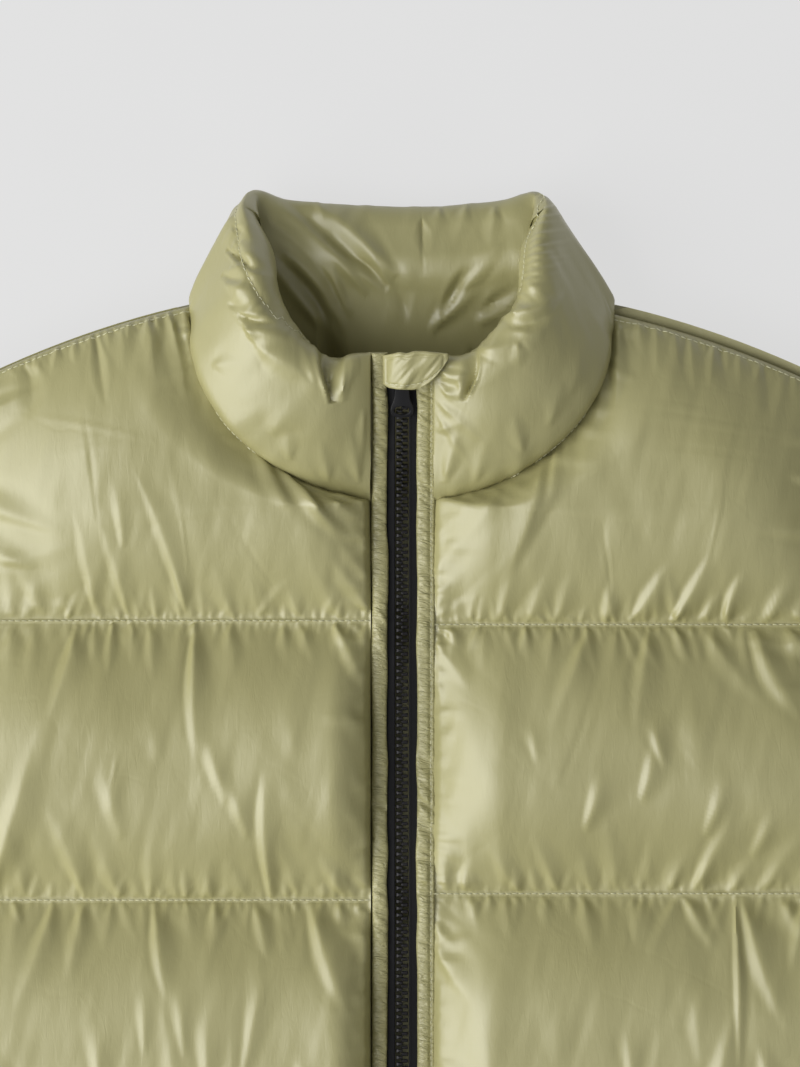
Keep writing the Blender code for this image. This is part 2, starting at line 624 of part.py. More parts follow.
def build_garage(group, parent):
    """The little flap that covers the slider, arched from the right facing to the left of the collar."""
    upper, lower = [], []
    start, end = GARAGE_EDGE
    for x, height, share in GARAGE_SECTIONS:
        stations = start + (end - start) * share * np.array(GARAGE_ROWS)
        upper.append([tuple(zip_point(d, height + GARAGE_THICKNESS, x)) for d in stations])
        lower.append([tuple(zip_point(d, height, x)) for d in stations])
    mesh = wall_mesh("zip_garage", np.array(upper), np.array(lower))
    add_object("zip_garage", mesh, FABRIC, group, parent)


def main():
    clear_scene()
    jacket, cutters = collection("puffer_jacket"), collection("cutters")
    origin = bpy.data.objects.new("high_shoulder_level", None)
    origin.location = (0.0, ORIGIN_Y, 0.0)
    jacket.objects.link(origin)
    build_back(jacket, origin)
    for side in ("right", "left"):
        build_front(side, jacket, origin)
        build_sleeve(side, jacket, origin)
    build_collar(jacket, origin)
    build_zip(jacket, origin)
    build_slider(jacket, cutters, origin)
    build_pull(jacket, origin)
    build_garage(jacket, origin)


main()
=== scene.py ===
"""The looks of a quilted puffer jacket that lies flat on its back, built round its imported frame.

Lengths are in metres and +Z is up. The wearer's left is +X and the neck points to +Y, so the wearer's right
front is on the left of the picture. Levels on the cut are measured from the high shoulder points. The crease
tables are in millimetres, from the same level and from the middle of the jacket.
"""

import logging
import math
from dataclasses import dataclass, field, replace
from enum import Enum

import bmesh
import bpy
import numpy as np
from mathutils import Matrix, Vector


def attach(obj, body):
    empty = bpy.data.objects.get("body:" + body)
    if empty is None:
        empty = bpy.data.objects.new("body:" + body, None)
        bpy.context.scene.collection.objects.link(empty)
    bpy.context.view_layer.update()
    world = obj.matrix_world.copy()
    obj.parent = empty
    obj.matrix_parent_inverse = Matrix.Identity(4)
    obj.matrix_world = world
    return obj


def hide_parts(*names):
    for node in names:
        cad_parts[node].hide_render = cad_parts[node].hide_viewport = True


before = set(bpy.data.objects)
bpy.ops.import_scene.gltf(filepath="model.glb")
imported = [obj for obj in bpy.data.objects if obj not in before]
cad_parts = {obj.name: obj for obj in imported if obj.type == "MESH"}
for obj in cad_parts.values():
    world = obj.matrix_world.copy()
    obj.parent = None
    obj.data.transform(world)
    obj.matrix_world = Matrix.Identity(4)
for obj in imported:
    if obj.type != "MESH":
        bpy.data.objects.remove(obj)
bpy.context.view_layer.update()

LOG = logging.getLogger("jacket")
MM = 0.001
Array = np.ndarray


class Side(Enum):
    """The wearer's two sides, with the sign of x on each."""

    RIGHT = -1
    LEFT = 1

    @property
    def word(self) -> str:
        """The side's name in the names of pieces."""
        return self.name.lower()


class Layer(Enum):
    """Whether a padded layer lies on the other one, or under it on the floor."""

    UPPER = 1
    LOWER = -1


# ---- numbers ----
def smooth(value: Array) -> Array:
    """The smooth step of a value from 0 to 1.

    Args:
        value: any numbers; below 0 gives 0 and above 1 gives 1.

    Returns:
        The eased numbers.
    """
    t = np.clip(value, 0.0, 1.0)
    return t * t * (3.0 - 2.0 * t)


def hermite(keys: Array, values: Array, at: Array) -> Array:
    """Smooth interpolation of rows of values.

    Args:
        keys: increasing positions, one for each row.
        values: rows of values, (keys, ...).
        at: the positions wanted.

    Returns:
        One row of values for each position.
    """
    slopes = np.gradient(values, keys, axis=0)
    index = np.clip(np.searchsorted(keys, at) - 1, 0, len(keys) - 2)
    span = (keys[index + 1] - keys[index])[:, None]
    t = (at[:, None] - keys[index][:, None]) / span
    a, b = values[index], values[index + 1]
    da, db = slopes[index] * span, slopes[index + 1] * span
    from_a, from_b = 2 * t**3 - 3 * t**2 + 1, 3 * t**2 - 2 * t**3
    from_da, from_db = t**3 - 2 * t**2 + t, t**3 - t**2
    return from_a * a + from_da * da + from_b * b + from_db * db


def running_length(points: Array) -> Array:
    """The distance along a line of points, from its first one."""
    return np.append(0.0, np.cumsum(np.linalg.norm(np.diff(points, axis=0), axis=1)))


def points_at(distances: Array, along: Array, points: Array) -> Array:
    """Points at distances along a line whose own points are at the distances in along."""
    return np.stack([np.interp(distances, along, column) for column in points.T], axis=-1)


def value_noise(x: Array, y: Array, cell: tuple[float, float], seed: int) -> Array:
    """Soft seeded noise over a plan.

    Args:
        x: plan positions across.
        y: plan positions along.
        cell: the size of one lump across and along.
        seed: the seed of its random heights.

    Returns:
        Heights of about -1 to 1.
    """
    rng = np.random.default_rng(seed)
    u, v = x / cell[0], y / cell[1]
    iu, iv = np.floor(u).astype(int), np.floor(v).astype(int)
    heights = rng.uniform(-1.0, 1.0, (np.ptp(iu) + 2, np.ptp(iv) + 2))
    fu, fv = smooth(u - iu), smooth(v - iv)
    iu, iv = iu - iu.min(), iv - iv.min()
    low = heights[iu, iv] * (1 - fu) + heights[iu + 1, iv] * fu
    high = heights[iu, iv + 1] * (1 - fu) + heights[iu + 1, iv + 1] * fu
    return low * (1 - fv) + high * fv


def layered_noise(x: Array, y: Array, layers: tuple, seed: int) -> Array:
    """The sum of several layers of soft seeded noise.

    Args:
        x: plan positions across.
        y: plan positions along.
        layers: each layer's height, its slant, and the size of one lump across and along.
        seed: the first layer's seed; each next one's is higher by 1.

    Returns:
        The heights.
    """
    return sum(
        height * value_noise(x + slant * y, y, cell, seed + number)
        for number, (height, slant, cell) in enumerate(layers)
    )


def grid_normals(points: Array) -> Array:
    """Unit normals of a grid of points, (rows, columns, 3)."""
    down, across = np.gradient(points, axis=0), np.gradient(points, axis=1)
    normal = np.cross(across, down)
    return normal / np.maximum(np.linalg.norm(normal, axis=2), 1e-12)[..., None]


# ---- meshes ----
def new_object(name: str, mesh: bpy.types.Mesh, material: bpy.types.Material) -> bpy.types.Object:
    """Links a new object with one material to the scene.

    Args:
        name: the piece's name.
        mesh: its mesh.
        material: its material.

    Returns:
        The object.
    """
    mesh.materials.clear()
    mesh.materials.append(material)
    obj = bpy.data.objects.new(name, mesh)
    bpy.context.scene.collection.objects.link(obj)
    return obj


def add_piece(
    name: str,
    mesh: bpy.types.Mesh,
    material: bpy.types.Material,
    nodes: tuple[str, ...] = (),
    body: str = "jacket",
) -> bpy.types.Object:
    """Adds a piece of the jacket.

    Args:
        name: the piece's name.
        mesh: its mesh.
        material: its material.
        nodes: the CAD nodes that it stands for.
        body: the CAD body that it rides on.

    Returns:
        The piece.
    """
    obj = new_object(name, mesh, material)
    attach(obj, body)
    if nodes:
        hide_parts(*nodes)
    LOG.info("%s: %d faces", name, len(mesh.polygons))
    return obj


def finish_mesh(mesh: bpy.types.Mesh, sharp_degrees: float, merge: float = 0.0) -> None:
    """Turns a mesh's faces outwards and makes them smooth.

    Args:
        mesh: the mesh, changed in place.
        sharp_degrees: edges that turn more than this stay sharp.
        merge: vertices closer together than this become one.
    """
    work = bmesh.new()
    work.from_mesh(mesh)
    if merge > 0:
        bmesh.ops.remove_doubles(work, verts=work.verts, dist=merge)
    bmesh.ops.recalc_face_normals(work, faces=work.faces)
    work.to_mesh(mesh)
    work.free()
    mesh.shade_smooth()
    mesh.set_sharp_from_angle(angle=math.radians(sharp_degrees))


def mesh_from_faces(name: str, points: Array, faces: list, sharp_degrees: float = 70.0) -> bpy.types.Mesh:
    """A smooth mesh with its faces turned outwards.

    Args:
        name: the mesh's name.
        points: its vertices, (count, 3).
        faces: lists of vertex numbers.
        sharp_degrees: edges that turn more than this stay sharp.

    Returns:
        The mesh.
    """
    mesh = bpy.data.meshes.new(name)
    mesh.from_pydata(np.asarray(points).tolist(), [], faces)
    finish_mesh(mesh, sharp_degrees)
    return mesh


def grid_quads(rows: int, columns: int, first: int = 0, wrap: bool = False) -> list:
    """The quads of a grid of vertices numbered row by row.

    Args:
        rows: the number of rows.
        columns: the number of columns.
        first: the number of the first vertex.
        wrap: whether the last column joins the first.

    Returns:
        Lists of four vertex numbers.
    """
    index = first + np.arange(rows * columns).reshape(rows, columns)
    right = np.roll(index, -1, axis=1) if wrap else index[:, 1:]
    left = index if wrap else index[:, :-1]
    quads = np.stack((left[:-1], right[:-1], right[1:], left[1:]), axis=-1)
    return quads.reshape(-1, 4).tolist()


def rim_of(index: Array) -> Array:
    """The border of a grid of vertex numbers, once round."""
    return np.concatenate((index[0, :-1], index[:-1, -1], index[-1, :0:-1], index[:0:-1, 0]))


def padded_mesh(name: str, outer: Array, inner: Array, step: int) -> bpy.types.Mesh:
    """A closed pad: a fine outer face, a coarser inner one, and a rim that joins them.

    Args:
        name: the mesh's name.
        outer: the outer face's points, (rows, columns, 3), with rows and columns one over a multiple of step.
        inner: the inner face's points on the same grid.
        step: how many fine cells one coarse cell spans.

    Returns:
        The mesh.
    """
    rows, columns = outer.shape[:2]
    fine = np.arange(rows * columns).reshape(rows, columns)
    coarse_points = inner[::step, ::step]
    coarse_shape = coarse_points.shape[:2]
    coarse = rows * columns + np.arange(coarse_shape[0] * coarse_shape[1]).reshape(coarse_shape)
    faces = grid_quads(rows, columns) + grid_quads(*coarse_shape, first=rows * columns)
    fine_rim, coarse_rim = rim_of(fine), rim_of(coarse)
    fine_rim = np.append(fine_rim, fine_rim[0])
    coarse_rim = np.append(coarse_rim, coarse_rim[0])
    for k in range(len(coarse_rim) - 1):
        run = fine_rim[k * step : k * step + step + 1].tolist()
        faces.append([int(coarse_rim[k]), *run, int(coarse_rim[k + 1])])
    points = np.vstack((outer.reshape(-1, 3), coarse_points.reshape(-1, 3)))
    return mesh_from_faces(name, points, faces)


def tube_mesh(name: str, sections: Array, sharp_degrees: float = 60.0) -> bpy.types.Mesh:
    """A closed bar from its sections, each a closed ring, with flat ends.

    Args:
        name: the mesh's name.
        sections: points, (stations, ring, 3).
        sharp_degrees: edges that turn more than this stay sharp.

    Returns:
        The mesh.
    """
    rows, ring = sections.shape[:2]
    faces = grid_quads(rows, ring, wrap=True)
    faces += [list(range(ring)), list(range((rows - 1) * ring, rows * ring))]
    return mesh_from_faces(name, sections.reshape(-1, 3), faces, sharp_degrees)


# ---- creases ----
@dataclass(frozen=True)
class Fold:
    """One crease of the cloth: a ridge or, with a negative height, a trough.

    It runs from a root to a tip. It starts narrow where its root is sewn down, and tapers to its tip.
    """

    root: tuple[float, float]
    tip: tuple[float, float]
    width: float
    height: float
    lean: float = 0.0  # negative: the flank that faces -x is the steep one
    bow: float = 0.0
    free: bool = False  # a free crease starts wide and faint, and ends in a sharp tip
    relief: float = 0.90
    crest: float = 0.16  # how round its top is, as a share of its width
    hollow: float = 0.25  # how far the cloth dips beside it, as a share of its height
    hollow_at: tuple[float, float] = (1.7, 0.8)  # where that dip is and how wide, as shares of its width

    @classmethod
    def from_row(cls, row: tuple, free: bool = False) -> "Fold":
        """A crease from a row of a table.

        Args:
            row: root x, root y, tip x, tip y, width, height, lean and bow, the lengths in millimetres; the
                lean and the bow are 0 where a row ends before them.
            free: whether its root isn't sewn down.

        Returns:
            The crease, in metres.
        """
        x0, y0, x1, y1, width, height, lean, bow = (*row, 0, 0)[:8]
        shift = BodyCut.origin_y
        root, tip = (x0 * MM, y0 * MM + shift), (x1 * MM, y1 * MM + shift)
        return cls(root, tip, width * MM, height * MM, lean, bow * MM, free)

    def width_along(self, inside: Array) -> Array:
        """Its width at shares of the way from its root to its tip."""
        if self.free:
            return self.width * (1.7 - 1.2 * inside)
        opening, closing = smooth(inside / 0.45), smooth((inside - 0.55) / 0.45)
        return self.width * (0.45 + 0.55 * opening) * (1 - 0.5 * closing)

    def height_along(self, inside: Array) -> Array:
        """Its height at shares of the way from its root to its tip, as a share of its full height."""
        if self.free:
            return smooth(inside / 0.7) * (1 - inside) ** 0.4
        return (0.3 + 0.7 * smooth(inside / 0.22)) * np.cos(np.pi / 2 * inside) ** 1.2

    def heights(self, x: Array, y: Array) -> Array:
        """The crease's height at points of the plan.

        Args:
            x: how far across each point is.
            y: how far up each point is.

        Returns:
            The height at each point.
        """
        dx, dy = self.tip[0] - self.root[0], self.tip[1] - self.root[1]
        length = math.hypot(dx, dy)
        from_root_x, from_root_y = x - self.root[0], y - self.root[1]
        t = (from_root_x * dx + from_root_y * dy) / length**2
        across = (from_root_x * dy - from_root_y * dx) / length * (1.0 if dy >= 0 else -1.0)
        inside = np.clip(t, 0.0, 1.0)
        across = across - self.bow * 4 * inside * (1 - inside)
        width = self.width_along(inside) * np.where(across < 0, 1 + self.lean, 1 - self.lean)
        share = np.abs(across / width)
        tent = np.sqrt(share**2 + self.crest**2) - self.crest
        dip_at, dip_width = self.hollow_at
        dip = self.hollow * np.exp(-(((share - dip_at) / dip_width) ** 2))
        profile = np.exp(-((1.15 * tent) ** 1.3)) - dip
        along = self.height_along(inside)
        if not self.free:
            along = np.where(t < 0, 0.0, along)
        return self.relief * self.height * profile * along

    def add_to(self, total: Array, x: Array, y: Array, window: tuple[slice, slice] | None = None) -> None:
        """Adds the crease to a grid of heights.

        Args:
            total: the heights, changed in place.
            x: the grid's plan positions across.
            y: the grid's plan positions along.
            window: the part of the grid that the crease can reach, or None to look for it.
        """
        if window is None:
            reach = 3 * self.width + abs(self.bow)
            low = np.minimum(self.root, self.tip) - reach
            high = np.maximum(self.root, self.tip) + reach
            near = (x > low[0]) & (x < high[0]) & (y > low[1]) & (y < high[1])
            total[near] += self.heights(x[near], y[near])
        else:
            total[window] += self.heights(x[window], y[window])


@dataclass(frozen=True)
class Gather:
    """A kind of small crease that is repeated along a seam."""

    spacing: float
    length: float
    width: float
    height: float
    lean: float = -0.2


FINE_GATHER = Gather(3.0 * MM, 5 * MM, 1.15 * MM, 0.40 * MM)
MIDDLE_GATHER = Gather(8 * MM, 15 * MM, 2.2 * MM, 0.85 * MM)
LONG_GATHER = Gather(26 * MM, 52 * MM, 4.3 * MM, 2.4 * MM, -0.3)


# ---- the cut of the body ----
class BodyCut:
    """The flat outlines of the body, sleeves and neck. Plan y is world y."""

    origin_y = 0.3075
    armhole_gap = 0.8 * MM
    neck_half_width = 0.099
    front_neck_drop = 0.093
    back_neck_drop = 0.018
    shoulder_x = 0.212
    shoulder_slope = 0.22
    shoulder_curve = 1.3
    underarm = (0.284, -0.262)
    armhole_power = 2.4
    hem_half_width = 0.278
    quilt_seams = (-0.150, -0.280, -0.4095, -0.539, -0.641)
    front_seams = {
        Side.RIGHT: (-0.1487, -0.2795, -0.4095, -0.539, -0.641),
        Side.LEFT: (-0.1505, -0.2765, -0.4095, -0.539, -0.641),
    }
    hem_y = -0.665
    layers_meet = 0.030  # the height over the floor where the upper layers rest on the lower ones
    placket_half_width = 0.0146
    placket_corner_degrees = 81.5
    shoulder_wrap = {Side.LEFT: 0.005, Side.RIGHT: 0.001}

    @classmethod
    def shoulder_y(cls, x: Array) -> Array:
        """The height of the shoulder seam on the plan, from the high shoulder point, at a distance out."""
        out = np.maximum(np.abs(x) - cls.neck_half_width, 0.0)
        return -(cls.shoulder_slope * out + cls.shoulder_curve * out**2)

    @classmethod
    def armhole_x(cls, y: Array) -> Array:
        """How far out the armhole is at a level y."""
        top = cls.shoulder_y(cls.shoulder_x)
        share = np.clip((top - y) / (top - cls.underarm[1]), 0.0, 1.0)
        return cls.shoulder_x + (cls.underarm[0] - cls.shoulder_x) * share**cls.armhole_power

    @classmethod
    def side_x(cls, y: Array) -> Array:
        """How far out the body's edge is at a level y: the armhole, then the side seam."""
        underarm_x, underarm_y = cls.underarm
        share = np.clip((underarm_y - y) / (underarm_y - cls.hem_y), 0.0, 1.0)
        side = underarm_x + (cls.hem_half_width - underarm_x) * share
        return np.where(y > underarm_y, cls.armhole_x(y), side)

    @classmethod
    def neck_point(cls, degrees: Array, inset: float = 0.0) -> Array:
        """Points on the neck seam: 270 is the centre front, 180 and 0 the shoulders, 90 the centre back."""
        angle = np.radians(degrees)
        drop = np.where(np.sin(angle) < 0, cls.front_neck_drop - inset, inset - cls.back_neck_drop)
        return np.stack(((cls.neck_half_width - inset) * np.cos(angle), drop * np.sin(angle)), axis=-1)

    @classmethod
    def along_armhole(cls, plan: Array) -> Array:
        """Whether each row of a body panel's plan grid ends at the armhole, (rows, 1)."""
        return plan[:, -1:, 1] > cls.underarm[1] + cls.origin_y


def eased_rows(start: float, end: float, count: int, ease: float = 0.08) -> Array:
    """Positions from a seam to the next, closer together near both, without the last."""
    share = np.arange(count) / count
    return start + (end - start) * (share - ease * np.sin(2 * np.pi * share))


def baffle_rows(seams: tuple[float, ...], counts: tuple[int, ...]) -> tuple[Array, list[int]]:
    """The rows from the first seam to the last.

    Args:
        seams: where each seam is.
        counts: how many rows lie in each baffle.

    Returns:
        All row positions, and the number of the row at each seam.
    """
    rows = [eased_rows(start, end, count) for start, end, count in zip(seams, seams[1:], counts)]
    return np.append(np.concatenate(rows), seams[-1]), [0, *map(int, np.cumsum(counts))]


# ---- the padded panels ----
@dataclass
class PaddedPanel:
    """A quilted layer of the jacket as a closed pad, laid on the other layer or on the floor."""

    name: str
    layer: Layer
    crown: float
    plan: Array = None
    contact: Array = None
    seam_rows: list[int] = field(default_factory=list)
    edge_raised: tuple = (False, True, True)  # the first row and the two sides: whether each stands off
    folds: list[Fold] = field(default_factory=list)
    seed: int = 1
    photographed: bool = False
    inner_step: int = 4
    clearance: float = 0.15 * MM
    seam_thickness: float = 3 * MM
    seam_lift: float = 6 * MM
    lift_reach: float = 45 * MM
    swell_reach: float = 60 * MM
    side_reaches: tuple[Array | float, Array | float] = (46 * MM, 46 * MM)
    edge_fullness: float = 0.0  # how much of the swell stands right at the first side
    edge_round: float = 3.5 * MM
    channel_fill: float = 0.5
    hem_lift_share: float = 0.25
    crease_start: float = 1.9 * MM  # how far from a seam the creases reach their height
    fine_crease_start: float = 1.0 * MM
    # Seeded lumps. Columns: height, slant, and the size of a lump across and along.
    lumps: tuple = (
        (1.2 * MM, 0, (0.052, 0.040)), (0.34 * MM, 0.15, (0.011, 0.040)), (0.17 * MM, -0.25, (0.0048, 0.020)),
    )
    cells_ahead: int = 4  # how far into the panel the way of a gather is taken
    picture_x: float = 0.187  # half the width that the photograph shows
    picture_y: float = -0.062  # the lowest level that it shows

    def distances(self) -> tuple[Array, Array, Array]:
        """How far each point is from the nearest seam row, and from each side.

        Returns:
            The three distances, each of the grid's shape.
        """
        down = np.linalg.norm(np.diff(self.plan, axis=0), axis=2)
        down = np.vstack((np.zeros((1, self.plan.shape[1])), np.cumsum(down, axis=0)))
        to_seam = np.min([np.abs(down - down[r]) for r in self.seam_rows], axis=0)
        across = np.linalg.norm(np.diff(self.plan, axis=1), axis=2)
        across = np.hstack((np.zeros((self.plan.shape[0], 1)), np.cumsum(across, axis=1)))
        return to_seam, across, across[:, -1:] - across

    def arc(self, distance: Array, reach: Array | float) -> Array:
        """The round swell of the filling: 0 at a seam, and 1 from its reach on."""
        return 1.0 - (1.0 - np.clip(distance / reach, 0.0, 1.0)) ** 2

    def lift(self, to_seam: Array, sides: tuple[Array, Array]) -> Array:
        """How far each point's inner face stands off the other layer, as a share of the seam lift.

        Args:
            to_seam: how far each point is from its seam row.
            sides: how far it is from the first and the last column.

        Returns:
            The shares, of the grid's shape.
        """

        def rise(distance: Array) -> Array:
            """How round the layer rises with the distance from a seam."""
            return np.sqrt(self.arc(distance, self.lift_reach))

        first_raised, *sides_raised = self.edge_raised
        lift = 1.0 - rise(to_seam)
        for side, raised in zip(sides, sides_raised):
            if np.all(raised):
                lift = np.maximum(lift, 1.0 - rise(side))
        for side, raised in zip(sides, sides_raised):
            lift = lift * np.where(raised, 1.0, rise(side))
        if not first_raised:
            lift = lift * rise(np.linalg.norm(self.plan - self.plan[:1], axis=2))
        hem = self.seam_rows[-2]
        lift[hem:] *= np.linspace(1.0, self.hem_lift_share, len(self.plan) - hem)[:, None]
        return lift

    def gathers(self, heights: Array, kind: Gather, seed: int, hidden_only: bool = False) -> None:
        """Adds seeded creases that fan out from every seam and side.

        Args:
            heights: the grid of heights, changed in place.
            kind: the kind of crease.
            seed: the seed of its places and sizes.
            hidden_only: whether to leave out the stretch that the photograph shows.
        """
        rng = np.random.default_rng(seed)
        rows, columns = heights.shape
        x, y = self.plan[..., 0], self.plan[..., 1]
        step = self.cells_ahead
        lines = [(r, None, way) for r in self.seam_rows for way in (-1, 1) if 0 <= r + step * way < rows]
        lines += [(None, 0, 1), (None, columns - 1, -1)]
        for row, column, way in lines:
            from_seam = column is None
            along = running_length(self.plan[row] if from_seam else self.plan[:, column])
            at = kind.spacing * rng.uniform(0.2, 1.0)
            while at < along[-1]:
                spread, turn = rng.uniform(0.55, 1.6), rng.normal(0, 0.28)
                size, tall = rng.lognormal(0, 0.35), rng.lognormal(0, 0.3)
                k = int(np.searchsorted(along, at))
                at += kind.spacing * spread
                r, c = (row, min(k, columns - 1)) if from_seam else (min(k, rows - 1), column)
                root = self.plan[r, c]
                shown = self.photographed and abs(root[0]) < self.picture_x and root[1] > self.picture_y
                if hidden_only and shown:
                    continue
                ahead = (self.plan[r + step * way, c] if from_seam else self.plan[r, c + step * way]) - root
                ahead = ahead / np.linalg.norm(ahead) * kind.length * min(size, 2.2)
                cos, sin = math.cos(turn), math.sin(turn)
                tip = root + (ahead[0] * cos - ahead[1] * sin, ahead[0] * sin + ahead[1] * cos)
                fold = Fold(tuple(root), tuple(tip), kind.width * size**0.5, kind.height * tall, kind.lean)
                r_reach, c_reach = (self.cells_in(kind.length * 2.3, r, c, axis) for axis in (0, 1))
                before = 0 if from_seam and way > 0 else r_reach
                after = 0 if from_seam and way < 0 else r_reach
                near_rows = slice(max(r - before, 0), r + after + 1)
                fold.add_to(heights, x, y, (near_rows, slice(max(c - c_reach, 0), c + c_reach + 1)))

    def cells_in(self, reach: float, row: int, column: int, axis: int) -> int:
        """How many cells a distance spans at a point of the grid, along its rows or columns.

        Args:
            reach: the distance.
            row: the point's row.
            column: the point's column.
            axis: 0 from row to row, 1 from column to column.

        Returns:
            The number of cells.
        """
        start, end = [row, column], [row, column]
        start[axis] = max(start[axis] - 3, 0)
        end[axis] = min(end[axis] + 3, self.plan.shape[axis] - 1)
        span = np.linalg.norm(self.plan[tuple(end)] - self.plan[tuple(start)])
        return int(math.ceil(reach / (span / (end[axis] - start[axis]))))

    def creases(self, to_seam: Array, sides: tuple[Array, Array]) -> Array:
        """The height of all creases and lumps over the smooth pad.

        Args:
            to_seam: how far each point is from its seam row.
            sides: how far it is from the first and the last column.

        Returns:
            The heights, of the grid's shape.
        """
        x, y = self.plan[..., 0], self.plan[..., 1]
        heights = np.zeros(x.shape)
        for fold in self.folds:
            fold.add_to(heights, x, y)
        self.gathers(heights, LONG_GATHER, self.seed, hidden_only=True)
        self.gathers(heights, MIDDLE_GATHER, self.seed + 1)
        heights += layered_noise(x, y, self.lumps, self.seed + 3)
        nearest = np.minimum(to_seam, np.minimum(*sides))
        heights *= 1 - np.exp(-((nearest / self.crease_start) ** 1.4))
        fine = np.zeros(x.shape)
        self.gathers(fine, FINE_GATHER, self.seed + 2)
        return heights + fine * (1 - np.exp(-((nearest / self.fine_crease_start) ** 2)))

    def surfaces(self) -> tuple[Array, Array]:
        """The outer and inner face of the pad, each (rows, columns, 3).

        Returns:
            The outer face, then the inner one.
        """
        to_seam, from_start, from_end = self.distances()
        sides = (from_start, from_end)
        swell = self.arc(to_seam, self.swell_reach)
        for side, reach, full in zip(sides, self.side_reaches, (self.edge_fullness, 0.0)):
            swell = swell * (full * self.arc(side, self.edge_round) + (1 - full) * self.arc(side, reach))
        swell[self.seam_rows[-2] :] *= self.channel_fill
        away = self.layer.value
        near = self.contact + away * (self.clearance + self.seam_lift * self.lift(to_seam, sides))
        far = near + away * (self.seam_thickness + self.crown * swell)
        outer = np.dstack((self.plan, far))
        normal = grid_normals(outer)
        normal *= np.sign(normal[..., 2:]) * away
        outer = outer + normal * self.creases(to_seam, sides)[..., None]
        if self.layer is Layer.LOWER:
            outer[..., 2] = np.maximum(outer[..., 2], 0.0)
        return outer, np.dstack((self.plan, near))

    def build(self, material: bpy.types.Material) -> bpy.types.Object:
        """Makes the panel and keeps its seam lines for the stitches.

        Args:
            material: the cloth.

        Returns:
            The panel.
        """
        self.outer, inner = self.surfaces()
        mesh = padded_mesh(self.name, self.outer, inner, self.inner_step)
        node = self.name.replace("_shell", "")
        return add_piece(self.name, mesh, material, (node,))

    def thread_lines(self) -> list[Array]:
        """The lines of points on the cloth that are stitched."""
        return [self.outer[row] for row in self.seam_rows[1:-1]]


@dataclass
class FrontPanel(PaddedPanel):
    """One front: from the shoulder round the neck to the placket, and out to the armhole and the side."""

    side: Side = Side.LEFT
    # How far in the filling is full, from the neck, the placket and the armhole; then its fullness by the
    # placket.
    reaches: dict[Side, tuple[float, ...]] = field(
        default_factory=lambda: {
            Side.RIGHT: (34 * MM, 20 * MM, 95 * MM, 0.38),
            Side.LEFT: (36 * MM, 34 * MM, 70 * MM, 0.15),
        }
    )
    placket_share: tuple[float, float] = (0.62, 0.33)  # of the top rows: where the placket's reach takes over
    rows_top: int = 104
    rows_in_baffle: tuple[int, ...] = (76, 76, 48, 40, 12)
    fine_columns: int = 176
    coarse_columns: int = 32
    fine_share: float = 0.69
    neck_steps: int = 60

    def __post_init__(self) -> None:
        """Works out the plan grid."""
        self.photographed = True
        self.plan, self.seam_rows = self.make_plan()
        self.contact = BodyCut.layers_meet
        self.edge_raised = (False, True, BodyCut.along_armhole(self.plan))
        start, ease = self.placket_share
        by_placket = smooth((np.arange(len(self.plan)) / self.rows_top - start) / ease)[:, None]
        neck, placket, armhole, self.edge_fullness = self.reaches[self.side]
        self.side_reaches = (neck + (placket - neck) * by_placket, armhole)

    def inner_edge(self) -> tuple[Array, Array]:
        """The inner edge from the shoulder to the first quilting seam: points, and shares of its length.

        Returns:
            The points (n, 2), then the share of the edge's length at each.
        """
        wrap = BodyCut.shoulder_wrap[self.side]
        start = math.degrees(math.asin(wrap / BodyCut.front_neck_drop))
        neck = BodyCut.neck_point(-np.linspace(start, BodyCut.placket_corner_degrees, self.neck_steps))
        edge = np.vstack((neck, [(BodyCut.placket_half_width, BodyCut.front_seams[self.side][0])]))
        along = running_length(edge)
        at = np.append(eased_rows(0.0, along[-1], self.rows_top), along[-1])
        return points_at(at, along, edge), at / along[-1]

    def make_plan(self) -> tuple[Array, list[int]]:
        """The plan grid in world x and y, and its seam rows.

        Returns:
            The grid (rows, columns, 2), then the numbers of its seam rows.
        """
        wrap = BodyCut.shoulder_wrap[self.side]
        quilt_seams = BodyCut.front_seams[self.side]
        shoulder_end = float(BodyCut.shoulder_y(BodyCut.shoulder_x)) - wrap
        edge, shares = self.inner_edge()
        fine = np.arange(self.fine_columns) / self.fine_columns * self.fine_share
        u = np.append(fine, np.linspace(self.fine_share, 1.0, self.coarse_columns + 1))
        shoulder_x = edge[0, 0] + (BodyCut.shoulder_x - edge[0, 0]) * u
        bow = BodyCut.shoulder_y(shoulder_x) - wrap - (edge[0, 1] + (shoulder_end - edge[0, 1]) * u)
        plan = []
        for inner, share in zip(edge[:-1], shares):
            edge_y = shoulder_end + (quilt_seams[0] - shoulder_end) * share
            outer = np.array((BodyCut.armhole_x(edge_y), edge_y))
            row = inner + (outer - inner) * u[:, None]
            row[:, 1] += bow * (1 - share) ** 2
            plan.append(row)
        levels, starts = baffle_rows((*quilt_seams, BodyCut.hem_y), self.rows_in_baffle)
        for y in levels:
            x = BodyCut.placket_half_width + (float(BodyCut.side_x(y)) - BodyCut.placket_half_width) * u
            plan.append(np.column_stack((x, np.full(len(x), y))))
        plan = np.array(plan)
        plan[..., 0] *= self.side.value
        plan[..., 1] += BodyCut.origin_y
        return plan, [0] + [self.rows_top + s for s in starts]

    def thread_lines(self) -> list[Array]:
        """The quilting seams, and the edge stitches under the shoulder."""
        return [*super().thread_lines(), self.outer[3]]


